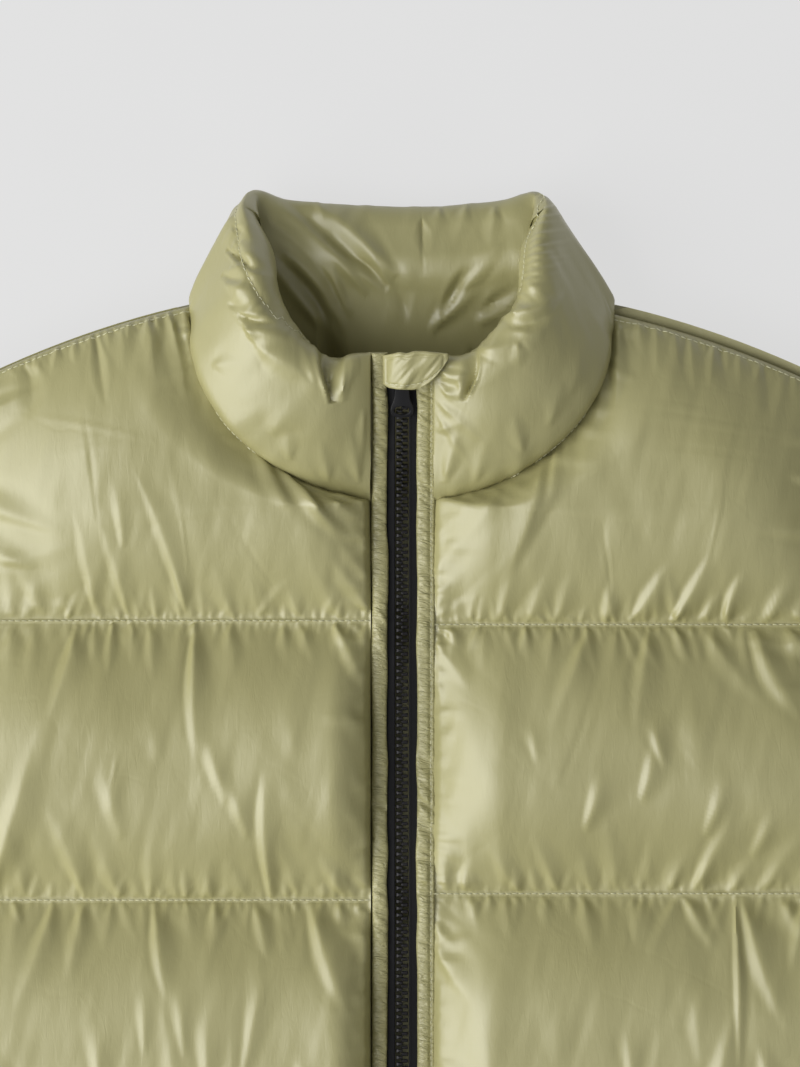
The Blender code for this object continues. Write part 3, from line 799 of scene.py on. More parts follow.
@dataclass
class BackPanel(PaddedPanel):
    """The back, which lies on the floor under the fronts."""

    half_columns: int = 96
    neck_dip: float = 24 * MM
    open_half_width: tuple[float, float] = (0.085, 0.030)  # of the open neck, and how softly it ends
    open_depth: tuple[float, float] = (0.045, 0.040)
    rows_top: int = 60
    rows_in_baffle: tuple[int, ...] = (52, 52, 52, 40, 12)

    def __post_init__(self) -> None:
        """Works out the plan grid."""
        self.plan, self.seam_rows = self.make_plan()
        self.contact = BodyCut.layers_meet - self.neck_dip * self.in_the_neck()
        armhole = BodyCut.along_armhole(self.plan)
        self.edge_raised = (False, armhole, armhole)

    def in_the_neck(self) -> Array:
        """How near each point is to the open neck, where the back sinks between its seams: 0 to 1."""
        x, y = self.plan[..., 0], self.plan[..., 1] - BodyCut.origin_y
        (half_width, side_ease), (depth, lower_ease) = self.open_half_width, self.open_depth
        across = smooth((half_width - np.abs(x)) / side_ease)
        return across * (1 - smooth((-y - depth) / lower_ease))

    def make_plan(self) -> tuple[Array, list[int]]:
        """The plan grid in world x and y, and its seam rows.

        Returns:
            The grid (rows, columns, 2), then the numbers of its seam rows.
        """
        columns = np.linspace(-1.0, 1.0, 2 * self.half_columns + 1)
        top_x = columns * BodyCut.shoulder_x
        ratio = np.clip(np.abs(top_x) / BodyCut.neck_half_width, 0.0, 1.0)
        top_y = BodyCut.shoulder_y(top_x) - BodyCut.back_neck_drop * np.sqrt(1.0 - ratio**2)
        first = BodyCut.quilt_seams[0]
        plan = []
        for share in eased_rows(0.0, 1.0, self.rows_top):
            edge_y = top_y[-1] + (first - top_y[-1]) * share
            x = top_x * BodyCut.armhole_x(edge_y) / BodyCut.shoulder_x
            plan.append(np.column_stack((x, top_y + (first - top_y) * share)))
        levels, starts = baffle_rows((*BodyCut.quilt_seams, BodyCut.hem_y), self.rows_in_baffle)
        for y in levels:
            plan.append(np.column_stack((columns * float(BodyCut.side_x(y)), np.full(len(columns), y))))
        plan = np.array(plan)
        plan[..., 1] += BodyCut.origin_y
        return plan, [0] + [self.rows_top + s for s in starts]


@dataclass
class SleeveHalf(PaddedPanel):
    """The upper or the lower half of a sleeve, from the armhole to the cuff."""

    side: Side = Side.LEFT
    cuff_width: float = 0.112
    overarm_cuff: tuple[float, float] = (0.588, -0.485)
    axis_degrees: float = 30.0
    handles: tuple[float, float] = (0.26, 0.32)
    handle_degrees: tuple[float, float] = (27.5, 67.0)
    bunching: float = 1.45
    seams: tuple[float, ...] = (0.0, 0.21, 0.41, 0.61, 0.80, 0.965, 1.0)
    rows_in_baffle: tuple[int, ...] = (36, 34, 34, 32, 28, 8)
    columns: int = 92
    cuff_contact: float = 0.022
    swell_reach: float = 42 * MM
    side_reaches: tuple[float, float] = (40 * MM, 40 * MM)

    def __post_init__(self) -> None:
        """Works out the plan grid."""
        rows, self.seam_rows = baffle_rows(self.seams, self.rows_in_baffle)
        self.plan = self.make_plan(rows)
        self.contact = BodyCut.layers_meet + (self.cuff_contact - BodyCut.layers_meet) * rows[:, None]
        self.edge_raised = (True, False, False)

    def overarm(self, v: Array) -> Array:
        """Points on the long upper edge, from the shoulder to the cuff, at shares of its length.

        Args:
            v: the shares.

        Returns:
            The points (n, 2).
        """
        start, end = (math.radians(a) for a in self.handle_degrees)
        a = np.array((BodyCut.shoulder_x, float(BodyCut.shoulder_y(BodyCut.shoulder_x))))
        d = np.array(self.overarm_cuff)
        b = a + self.handles[0] * np.array((math.cos(start), -math.sin(start)))
        c = d - self.handles[1] * np.array((math.cos(end), -math.sin(end)))
        t = np.linspace(0, 1, 200)[:, None]
        curve = (1 - t) ** 3 * a + 3 * (1 - t) ** 2 * t * b + 3 * (1 - t) * t**2 * c + t**3 * d
        along = running_length(curve)
        return points_at(v * along[-1], along, curve)

    def make_plan(self, v: Array) -> Array:
        """The plan grid in world x and y, ruled between the armhole, the cuff and the two long edges.

        Args:
            v: the rows' shares of the way from the shoulder to the cuff.

        Returns:
            The grid (rows, columns, 2).
        """
        over = self.overarm(v)
        axis = math.radians(self.axis_degrees)
        underarm = np.array(BodyCut.underarm)
        across_cuff = self.cuff_width * np.array((math.cos(axis), math.sin(axis)))
        under_cuff = np.array(self.overarm_cuff) - across_cuff
        under = underarm + (under_cuff - underarm) * (v**self.bunching)[:, None]
        u = np.linspace(0.0, 1.0, self.columns + 1)
        shoulder_y = float(BodyCut.shoulder_y(BodyCut.shoulder_x))
        armhole_y = shoulder_y + (BodyCut.underarm[1] - shoulder_y) * u
        armhole = np.column_stack((BodyCut.armhole_x(armhole_y), armhole_y))
        cuff = over[-1] + (under[-1] - over[-1]) * u[:, None]
        w = v[:, None, None]
        ruled_v = (1 - w) * armhole + w * cuff
        ruled_u = over[:, None] * (1 - u)[None, :, None] + under[:, None] * u[None, :, None]
        corners = (1 - w) * (over[0] + (under[0] - over[0]) * u[:, None]) + w * cuff
        plan = ruled_v + ruled_u - corners
        plan[..., 0] += BodyCut.armhole_gap * (1 - v)[:, None]
        plan[..., 0] *= self.side.value
        plan[..., 1] += BodyCut.origin_y
        return plan


# ---- collar ----
# One row for each station, from the wearer's right front edge round the back of the neck to the left one.
# Columns: degrees round the neck seam, seam height, upper edge x, y and z, outward swell, inward swell, and
# how far inside the upper edge the topstitch runs; all but the first in millimetres.
COLLAR_STATIONS = (
    (261.5, 38.2, -14.6, -23.5, 63, 5.5, 3, 9),
    (255, 38.2, -22, -25, 64.8, 10, 7, 9),
    (246, 38.2, -31, -26.5, 66.2, 14, 11, 9),
    (232, 38.2, -45, -18, 69, 16.5, 14, 5),
    (215, 37.2, -57.5, -3, 70, 16.5, 15.5, -4),
    (200, 35, -65, 14.5, 68, 11.5, 19, -8),
    (188, 33, -69, 31.5, 56, 6, 21.5, -10),
    (177, 32, -73.5, 48, 39, 2.5, 15, -7),
    (163, 28, -70.5, 54, 24, 3.5, 9, -6),
    (143, 27.5, -54, 50, 16, 13, 13, -8),
    (117, 27.5, -27, 47.5, 12.5, 19, 13, -8),
    (90, 27.5, 0, 46.3, 11.5, 19, 13, -8),
    (63, 27.5, 26, 47.3, 12.5, 19, 13, -8),
    (37, 27.5, 48.5, 50, 16, 13, 13, -8),
    (17, 28, 64.5, 53.5, 24, 3, 9, -2),
    (3, 32, 67, 47, 40, 2, 17, 5),
    (-8, 33, 62.5, 31.5, 57, 5.5, 21, 9),
    (-20, 35, 59.5, 14, 68, 10, 18, 9),
    (-35, 37.2, 54, -1, 70, 15, 14, 8),
    (-52, 38.2, 42, -15, 69, 16, 12, 9),
    (-66, 38.2, 29, -25, 66.5, 14, 10, 9),
    (-75, 38.2, 21.5, -25, 65, 10, 7, 9),
    (-81.5, 38.2, 14.6, -23.5, 63, 5.5, 3, 9),
)


@dataclass
class Collar:
    """The padded stand collar: a closed, fat band with a topstitch near its upper edge."""

    name: str = "collar_shell"
    stations: int = 480
    outer_steps: int = 100
    inner_steps: int = 60
    thickness: float = 3 * MM
    rise: float = 0.45
    steepness: tuple[float, float] = (0.95, 0.5)  # how round the pad starts: at the front edges and elsewhere
    forward_roll: tuple[float, float] = (17 * MM, -21 * MM)  # how the back's inside comes forward and sinks
    back_share: tuple[float, float, float] = (0.27, 0.73, 0.10)  # of the band: where that is, and its ease
    belly: float = 6.5 * MM  # how far the front hangs out over the neck seam
    belly_at: tuple[float, float] = (0.20, 0.18)  # where it hangs out most and how high that is, as shares
    cap: float = 0.80
    slimming: float = 0.25
    stitch_depth: float = 1.5 * MM
    stitch_reach: float = 3.4 * MM
    overhang: float = 5.5 * MM
    inset: float = 0.3 * MM
    front_ends: tuple[float, float] = (0.040, -0.050)  # the ends by the zip: up to which x, and below which y
    seam_ease: float = 3 * MM  # from the neck seam to where the creases have their height
    stitch_ease: float = 1.1 * MM
    end_ease: float = 5 * MM
    seed: int = 71
    # Seeded lumps. Columns: height, slant, and the size of one along the band and round it.
    lumps: tuple = ((0.4 * MM, 0, (0.034, 0.040)), (0.22 * MM, 0.3, (0.006, 0.022)))
    # Columns: whether at the topstitch or at the neck seam, which way, spacing, length, width and height, in
    # millimetres.
    puckers: tuple = (
        (True, -1, 6.5, 12, 1.5, 0.35), (True, 1, 5.5, 8, 1.4, 0.28), (False, 1, 4.5, 8, 1.2, 0.35),
        (True, -1, 24, 22, 2.6, 0.55), (False, 1, 17, 24, 2.8, 0.6),
    )

    def profile(self, v: Array, swell: Array) -> Array:
        """How far a face stands off the line from the seam to the upper edge.

        Args:
            v: shares of the way from the seam to the upper edge.
            swell: the swell of each station.

        Returns:
            Distances, (stations, steps).
        """
        closing = np.sqrt(1 - ((v - self.cap) / (1 - self.cap)).clip(0, 1) ** 2)
        edge = np.minimum(self.at, self.at[-1] - self.at) / (75 * MM)
        front, elsewhere = self.steepness
        power = front + (elsewhere - front) * smooth(edge - 0.2)[:, None]
        reach = self.rise * (1.7 - 0.7 * smooth(edge))[:, None]
        rise = (1 - (1 - np.clip(v / reach, 0, 1)) ** 2) ** power
        fullness = rise * closing * (1 - self.slimming * smooth((v - 0.4) / 0.5))
        return self.thickness / 2 * closing + swell[:, None] * fullness

    def ring(self) -> Array:
        """The smooth closed sections, (stations, ring, 3): up the outside, then down the inside.

        Returns:
            The sections' points.
        """
        table = np.array(COLLAR_STATIONS)
        table[:, 1:] *= MM
        base = np.column_stack((BodyCut.neck_point(table[:, 0], self.inset), table[:, 1]))
        top = table[:, 2:5]
        keys = running_length((base + top) / 2)
        self.at = np.linspace(0, keys[-1], self.stations)
        rows = hermite(keys, np.column_stack((base, top, table[:, 5:], table[:, 0])), self.at)
        base, top = rows[:, :3], rows[:, 3:6]
        base[:, :2] = BodyCut.neck_point(rows[:, 9], self.inset)
        self.stitch_at = rows[:, 8]
        up = top - base
        outward = np.cross(up, np.gradient((base + top) / 2, axis=0))
        outward /= np.linalg.norm(outward, axis=1)[:, None]
        self.base = base
        outer_v = np.linspace(0, 1, self.outer_steps + 1)
        inner_v = np.linspace(1, 0, self.inner_steps + 1)[1:]
        faces = []
        for way, v, swell in ((1, outer_v, rows[:, 6]), (-1, inner_v, rows[:, 7])):
            reach = self.profile(v, swell)[..., None]
            faces.append(base[:, None] + up[:, None] * v[None, :, None] + way * outward[:, None] * reach)
        outer, inner = faces
        middle = self.at / self.at[-1]
        first, last, ease = self.back_share
        at_back = smooth((middle - first) / ease) * smooth((last - middle) / ease)
        forward, sink = self.forward_roll
        inner[..., 1] -= forward * at_back[:, None] * (1 - smooth(inner_v / 0.34))
        inner[..., 2] += sink * at_back[:, None] * (1 - smooth(inner_v / 0.6))
        outer[..., 2] += sink * at_back[:, None] * (1 - smooth(outer_v / 0.2))
        outer[..., :2] += self.overhang_of(base, outer_v)
        return np.concatenate(faces, axis=1)

    def overhang_of(self, base: Array, v: Array) -> Array:
        """How far the outside of the front moves out over the neck seam.

        Args:
            base: the seam's points, (stations, 3).
            v: shares of the way from the seam to the upper edge.

        Returns:
            Moves in the plan, (stations, steps, 2).
        """
        out = base[:, :2] / (BodyCut.neck_half_width**2, BodyCut.front_neck_drop**2)
        out /= np.linalg.norm(out, axis=1)[:, None]
        from_zip = smooth((np.abs(base[:, 0]) - 0.014) / 0.02)
        front = smooth((-base[:, 1] - 0.010) / 0.035) * (0.85 + 0.15 * from_zip)
        middle, height = self.belly_at
        share = front[:, None] * np.exp(-(((v - middle) / height) ** 2))[None, :]
        return self.belly * share[..., None] * out[:, None]

    def normals(self, ring: Array) -> Array:
        """Unit normals of the closed sections, pointing out of the pad.

        Args:
            ring: the sections' points.

        Returns:
            The normals, one at each point.
        """
        around = np.roll(ring, -1, axis=1) - np.roll(ring, 1, axis=1)
        normal = np.cross(around, np.gradient(ring, axis=0))
        normal /= np.maximum(np.linalg.norm(normal, axis=2), 1e-9)[..., None]
        middle = ring.mean(axis=1, keepdims=True)
        sign = np.sign(np.mean(np.sum(normal * (ring - middle), axis=2)))
        return normal * sign

    def stay_inside(self, ring: Array) -> Array:
        """Eases the front back to the neck seam where its full middle would hang over it too far.

        Args:
            ring: the sections' points.

        Returns:
            The points after that.
        """
        half_width, drop = BodyCut.neck_half_width - self.inset, BodyCut.front_neck_drop - self.inset
        x, y = ring[..., 0], ring[..., 1]
        radius = np.hypot(x / half_width, np.minimum(y, 0.0) / drop)
        past = np.maximum(radius - 1, 0.0) * half_width
        allowed = self.overhang * (1 - np.exp(-past / self.overhang))
        share = np.where(radius > 1, (1 + allowed / half_width) / np.maximum(radius, 1e-6), 1.0)
        ring[..., 0] *= share
        ring[..., 1] = np.where(y < 0, y * share, y)
        end_x, end_y = self.front_ends
        ends = (np.abs(self.base[:, 0]) < end_x) & (self.base[:, 1] < end_y)
        side = np.sign(self.base[:, :1])
        away = np.maximum(ring[..., 0] * side, BodyCut.placket_half_width)
        ring[..., 0] = np.where(ends[:, None], away * side, ring[..., 0])
        return ring

    def relief(self, ring: Array, normal: Array) -> Array:
        """The height of the topstitch groove and of all creases.

        Args:
            ring: the sections' points.
            normal: their normals.

        Returns:
            The height at each point.
        """
        lengths = np.linalg.norm(np.diff(ring, axis=1), axis=2)
        arc = np.hstack((np.zeros((len(ring), 1)), np.cumsum(lengths, axis=1)))
        self.from_stitch = arc - arc[:, self.outer_steps : self.outer_steps + 1] - self.stitch_at[:, None]
        from_stitch = self.from_stitch
        x, y = ring[..., 0], ring[..., 1] + BodyCut.origin_y
        facing = smooth(normal[..., 2] / 0.3)
        creases = np.zeros(x.shape)
        for row in COLLAR_FOLDS:
            Fold.from_row(row).add_to(creases, x, y)
        height = creases * facing
        u = self.at[:, None] + 0 * arc
        for number, (tall, slant, cell) in enumerate(self.lumps):
            height += tall * value_noise(u + slant * arc, arc + 1.0, cell, self.seed + number)
        height += self.gathers(u, from_stitch, arc)
        from_seam = np.minimum(arc, arc[:, -1:] - arc)
        height *= 1 - np.exp(-((from_seam / self.seam_ease) ** 1.3))
        height *= 1 - np.exp(-((np.abs(from_stitch) / self.stitch_ease) ** 1.5))
        height *= smooth(np.minimum(self.at, self.at[-1] - self.at) / self.end_ease)[:, None]
        return height - self.stitch_depth * np.exp(-np.abs(from_stitch / self.stitch_reach) ** 1.2)

    def gathers(self, u: Array, from_stitch: Array, arc: Array) -> Array:
        """Seeded puckers on both sides of the topstitch and above the neck seam.

        Args:
            u: how far round the neck each point is.
            from_stitch: its distance from the topstitch.
            arc: its distance up from the neck seam.

        Returns:
            The height at each point.
        """
        rng = np.random.default_rng(self.seed + 2)
        total = np.zeros(u.shape)
        for at_stitch, way, spacing, reach, width, height in self.puckers:
            y = from_stitch if at_stitch else arc
            at = 0.0
            while at < self.at[-1]:
                at += spacing * MM * rng.uniform(0.5, 1.6)
                size, turn, tall = rng.lognormal(0, 0.35), rng.normal(0, 0.3), rng.lognormal(0, 0.3)
                tip = (at + reach * MM * size * math.sin(turn), way * reach * MM * size * math.cos(turn))
                fold = Fold((at, 0.0), tip, width * MM * size**0.5, height * MM * tall)
                r0, r1 = np.searchsorted(self.at, (at - 0.012 - reach * MM, at + 0.012 + reach * MM))
                total[r0:r1] += fold.heights(u[r0:r1], y[r0:r1])
        return total

    def lower_rim(self, ring: Array) -> Array:
        """The line over the neck seam where the front's outside is widest, from one zip side to the other.

        Args:
            ring: the sections' points.

        Returns:
            The line's points (n, 3).
        """
        low = ring[:, : self.outer_steps // 2]
        x, y = low[..., 0], low[..., 1] - BodyCut.origin_y
        radius = np.hypot(x / BodyCut.neck_half_width, y / BodyCut.front_neck_drop)
        widest = np.argmax(radius, axis=1) + 2
        line = ring[np.arange(len(ring)), widest]
        return line[line[:, 1] < BodyCut.origin_y + self.front_ends[1]]

    def build(self, material: bpy.types.Material) -> bpy.types.Object:
        """Makes the collar.

        Args:
            material: the cloth.

        Returns:
            The collar.
        """
        ring = self.ring()
        normal = self.normals(ring)
        ring = ring + normal * self.relief(ring, normal)[..., None]
        ring = self.stay_inside(ring)
        ring[..., 1] += BodyCut.origin_y
        ring[..., 2] = np.maximum(ring[..., 2], 0.0)
        at_stitch = np.argmin(np.abs(self.from_stitch), axis=1)
        rows = np.arange(len(ring))
        self.stitch_line = ring[rows, at_stitch]
        self.stitch_out = normal[rows, at_stitch]
        self.rim_line = self.lower_rim(ring)
        obj = add_piece(self.name, tube_mesh(self.name, ring), material, ("collar",))
        return obj


# ---- zip ----
@dataclass(frozen=True)
class ZipPath:
    """The line of the zip down the centre front, in the plane x = 0."""

    top: tuple[float, float] = (-0.0235, 0.0625)
    neck: tuple[float, float] = (-0.0920, 0.0393)
    body_z: float = 0.0376
    bend: float = 0.030
    steps: int = 16

    def line(self) -> tuple[Array, Array, Array]:
        """Points (y, z) of the tape's middle, their distances from the top, and their normals.

        Returns:
            The three arrays, one row for each point.
        """
        top, neck = Vector(self.top), Vector(self.neck)
        end = Vector((self.neck[0] - self.bend, self.body_z))
        start = top.lerp(neck, 0.9)
        points = [top.lerp(neck, 0.9 * k / self.steps) for k in range(self.steps)]
        for k in range(self.steps + 1):
            t = k / self.steps
            points.append((1 - t) ** 2 * start + 2 * (1 - t) * t * neck + t * t * end)
        points.append(Vector((BodyCut.hem_y, self.body_z)))
        line = np.array([tuple(p) for p in points]) + (BodyCut.origin_y, 0.0)
        tangent = np.gradient(line, axis=0)
        tangent /= np.linalg.norm(tangent, axis=1)[:, None]
        return line, running_length(line), np.column_stack((tangent[:, 1], -tangent[:, 0]))

    def length(self) -> float:
        """The whole length down to the hem."""
        return float(self.line()[1][-1])

    def points(self, distance: Array, height: Array, x: Array) -> Array:
        """World points at distances down the zip, heights over the tape's middle and places across.

        Args:
            distance: how far down the zip.
            height: how far over the tape's middle.
            x: how far across.

        Returns:
            The points (..., 3).
        """
        line, along, normal = self.line()
        distance, height, x = np.broadcast_arrays(distance, height, x)
        at, away = points_at(distance, along, line), points_at(distance, along, normal)
        away /= np.linalg.norm(away, axis=-1)[..., None]
        above_top = np.minimum(distance, 0.0)[..., None] * (line[1] - line[0]) / along[1]
        at = at + above_top + away * height[..., None]
        return np.concatenate((x[..., None], at), axis=-1)

    def matrix(self, distance: float, height: float) -> Matrix:
        """A frame on the path: X across the zip, Y up towards the collar and Z away from the tape."""
        origin = Vector(self.points(distance, height, 0.0))
        up = (Vector(self.points(distance, height + 0.001, 0.0)) - origin).normalized()
        across = Vector((1, 0, 0))
        return Matrix.Translation(origin) @ Matrix((across, up.cross(across), up)).transposed().to_4x4()


PATH = ZipPath()


@dataclass
class Facing:
    """The narrow folded strip of shell cloth along one side of the zip, gathered by its stitching."""

    side: Side
    inner_x: float = 6.8 * MM
    underside: float = 0.7 * MM
    thickness: float = 2.5 * MM
    step: float = 0.8 * MM
    across: int = 14
    stitch_share: float = 0.76
    stitch_dip: tuple[float, float] = (0.10, 0.55)  # how wide and how deep the stitches pull the strip down
    # The puckers. Columns: height, slant, and the spacing along the zip and over the strip's width.
    puckers: tuple = ((1.1 * MM, 0, (0.0017, 3.0)), (1.3 * MM, 0, (0.0045, 3.0)))
    flat: tuple[float, float] = (0.700, 0.0105)

    def __post_init__(self) -> None:
        """Sets the outer edge, its slant and its seed: the left one runs on under the front's edge."""
        right = self.side is Side.RIGHT
        self.outer_x = 14.15 * MM if right else 15.4 * MM
        self.slant = -0.75 if right else -0.45
        self.seed = 31 if right else 37

    def gathers(self, d: Array, share: Array) -> Array:
        """The puckers of the strip.

        Args:
            d: distances down the zip.
            share: shares of the way from the inner edge to the outer one.

        Returns:
            Heights on the grid of both.
        """
        slant = self.slant + 0.5 * self.drift(d, 0.05, 0)
        run = d + (share - 0.5) * (self.outer_x - self.inner_x) * slant * self.side.value
        phase = np.cumsum(0.9 + 0.6 * self.drift(d, 0.012, 1), axis=0) * self.step
        warped = np.interp(run, d[:, 0], phase[:, 0])
        strength = 0.55 + 0.45 * self.drift(d, 0.022, 5)
        return layered_noise(warped, share + 0 * d, self.puckers, self.seed + 2) * strength

    def drift(self, d: Array, cell: float, number: int) -> Array:
        """Soft seeded noise that changes down the zip only, at distances d."""
        return value_noise(d, d, (cell, 9.0), self.seed + number)

    def build(self, material: bpy.types.Material) -> bpy.types.Object:
        """Makes the strip.

        Args:
            material: the cloth.

        Returns:
            The strip.
        """
        length = PATH.length()
        d = np.linspace(0, length, int(length / self.step) + 1)[:, None]
        share = np.linspace(0, 1, self.across + 1)[None, :]
        pillow = np.clip(4 * share * (1 - share), 0, 1) ** 0.5
        wander = 0.35 * MM * self.drift(d, 0.030, 6)
        if self.side is Side.LEFT:
            width, depth = self.stitch_dip
            stitched = np.exp(-(((share - self.stitch_share) / width) ** 2))
            pillow = pillow * (1 - depth * stitched)
            wander = 0 * wander
        body = self.underside + self.thickness * (0.35 + 0.65 * pillow)
        top_height = body + self.gathers(d, share) * pillow
        wave = 0.45 * MM * self.drift(d, 0.014, 4)
        x = self.inner_x + wave * (1 - share) + (self.outer_x - self.inner_x) * share + wander * share
        upper = PATH.points(d, top_height, self.side.value * x)
        lower = PATH.points(d, self.underside, self.side.value * (x[:, ::-1] * 0.999 + 0.001 * self.inner_x))
        ring = np.concatenate((upper, lower[:, :: self.across // 2]), axis=1)
        self.outer = upper
        name = f"facing_{self.side.word}_cloth"
        node = f"facing_{self.side.word}"
        obj = add_piece(name, tube_mesh(name, ring), material, (node,))
        return obj


@dataclass
class ZipTape:
    """One side's woven tape, with the cord along its inner edge that the teeth grip."""

    side: Side
    inner_x: float = 3.2 * MM
    outer_x: float = 13.8 * MM
    thickness: float = 0.8 * MM
    cord: float = 0.55 * MM
    step: float = 4 * MM
    ends: tuple[float, float] = (4.0 * MM, 0.5 * MM)  # how far inside the path's ends it stops

    def build(self, material: bpy.types.Material) -> bpy.types.Object:
        """Makes the tape.

        Args:
            material: the woven tape.

        Returns:
            The tape.
        """
        half = self.thickness / 2
        turns = np.radians((200, 160, 120, 80, 40))
        bead_x = self.inner_x + self.cord * (1 + np.cos(turns))
        bead_y = half * 0.6 + self.cord * np.sin(turns)
        flat = [(self.inner_x + 3 * self.cord, half), (self.outer_x, half), (self.outer_x, -half)]
        section = np.array([(self.inner_x, -half), *zip(bead_x, bead_y), *flat])
        start, end = self.ends[0], PATH.length() - self.ends[1]
        d = np.linspace(start, end, int((end - start) / self.step))[:, None]
        ring = PATH.points(d, section[None, :, 1], self.side.value * section[None, :, 0])
        name = f"zip_tape_{self.side.word}_weave"
        node = f"zip_tape_{self.side.word}"
        obj = add_piece(name, tube_mesh(name, ring, sharp_degrees=50), material, (node,))
        return obj


@dataclass
class ZipTeeth:
    """One side's moulded teeth, all in one joined mesh."""

    side: Side
    pitch: float = 3.175 * MM
    start: float = 9.6 * MM
    end_clearance: float = 10.2 * MM
    # The rings of a tooth. Columns: height over the tape in millimetres, and how much of the outline it has.
    layers: tuple = ((-1.35, 0.88), (0.80, 1.0), (1.20, 0.86), (1.42, 0.50))

    def outline(self) -> Array:
        """One tooth from above, in millimetres: across from the middle of the zip, and along."""
        turns = np.radians(np.linspace(48, 312, 9))
        head = np.column_stack((0.50 + 0.88 * np.cos(turns), 0.88 * np.sin(turns)))
        return np.vstack(((2.75, 0.85), (1.55, 0.85), head, (1.55, -0.85), (2.75, -0.85)))

    def build(self, material: bpy.types.Material) -> bpy.types.Object:
        """Makes the row of teeth.

        Args:
            material: the moulded plastic.

        Returns:
            The teeth.
        """
        outline = self.outline() * MM
        middle = np.array((0.5 * MM, 0.0))
        layers = [(height * MM, middle + (outline - middle) * grow) for height, grow in self.layers]
        offset = 0.0 if self.side is Side.RIGHT else self.pitch / 2
        count = int((PATH.length() - self.end_clearance - self.start - offset) / self.pitch)
        ring = len(outline)
        points, faces = [], []
        for k in range(count):
            at = self.start + offset + k * self.pitch
            first = len(points) * ring
            for height, shape in layers:
                points.append(PATH.points(at + shape[:, 1], height, self.side.value * shape[:, 0]))
            faces += grid_quads(len(layers), ring, first, wrap=True)
            last = first + (len(layers) - 1) * ring
            faces += [list(range(first, first + ring)), list(range(last, last + ring))]
        name = f"zip_teeth_{self.side.word}_row"
        mesh = mesh_from_faces(name, np.concatenate(points), faces, sharp_degrees=35)
        return add_piece(name, mesh, material, (f"zip_teeth_{self.side.word}",))


@dataclass
class Garage:
    """The little flap of shell cloth that covers the slider."""

    lower_edge: float = 15.2 * MM
    thickness: float = 1.8 * MM
    rows: int = 56
    columns: int = 44
    # Columns: x, height over the tape, where the upper edge is, and how much of its length the round corner
    # leaves.
    sections: tuple = (
        (-0.0090, 0.0036, 0.0004, 0.93),
        (-0.0068, 0.0056, -0.0006, 1.00),
        (-0.0042, 0.0080, -0.0018, 1.00),
        (-0.0010, 0.0094, -0.0030, 1.00),
        (0.0022, 0.0097, -0.0026, 1.00),
        (0.0055, 0.0099, -0.0036, 0.99),
        (0.0092, 0.0101, -0.0037, 0.93),
        (0.0132, 0.0102, -0.0034, 0.79),
        (0.0172, 0.0100, -0.0030, 0.54),
        (0.0216, 0.0092, -0.0022, 0.14),
    )
    lies: tuple[float, float] = (0.030, 0.017)  # its size as it lies, across and down
    edge_round: float = 1.6 * MM
    groove: tuple[float, ...] = (2.2 * MM, 0.6 * MM, 0.45 * MM)  # of its stitching: inset, width, depth
    # Creases. Columns: height, slant, and the size of one across and down.
    creases: tuple = ((0.85 * MM, 0.45, (0.0042, 0.011)), (0.38 * MM, 0.7, (0.0017, 0.007)))
    seed: int = 51
    flat: tuple[float, float] = (0.033, 0.0165)
    flat_area: float = 0.00047

    def build(self, material: bpy.types.Material) -> bpy.types.Object:
        """Makes the flap.

        Args:
            material: the cloth.

        Returns:
            The flap.
        """
        table = np.array(self.sections)
        keys = running_length(table[:, :2])
        rows = hermite(keys, table, np.linspace(0, keys[-1], self.rows))
        v = np.linspace(0, 1, self.columns)[None, :]
        start = rows[:, 2:3]
        d = start + (self.lower_edge - start) * rows[:, 3:4] * v
        u = np.linspace(0, 1, self.rows)[:, None]
        width, length = self.lies
        inset, half_width, depth = self.groove
        edge = np.minimum(np.minimum(u, 1 - u) * width, np.minimum(v, 1 - v) * length)
        pillow = np.sqrt(np.clip(1 - (1 - edge / self.edge_round).clip(0) ** 2, 0, 1))
        creases = layered_noise(u * width, d, self.creases, self.seed)
        dip = depth * np.exp(-((edge - inset) / half_width) ** 2)
        top = rows[:, 1:2] + self.thickness * (0.5 + 0.45 * pillow) + (creases - dip) * pillow + 0.05 * MM
        low = rows[:, 1:2] + self.thickness * (0.5 - 0.45 * pillow) - 0.05 * MM
        upper = PATH.points(d, top, rows[:, :1])
        lower = PATH.points(d, low, rows[:, :1])
        self.outer = upper
        name = "zip_garage_flap"
        mesh = padded_mesh(name, upper, lower, step=1)
        obj = add_piece(name, mesh, material, ("zip_garage",))
        return obj


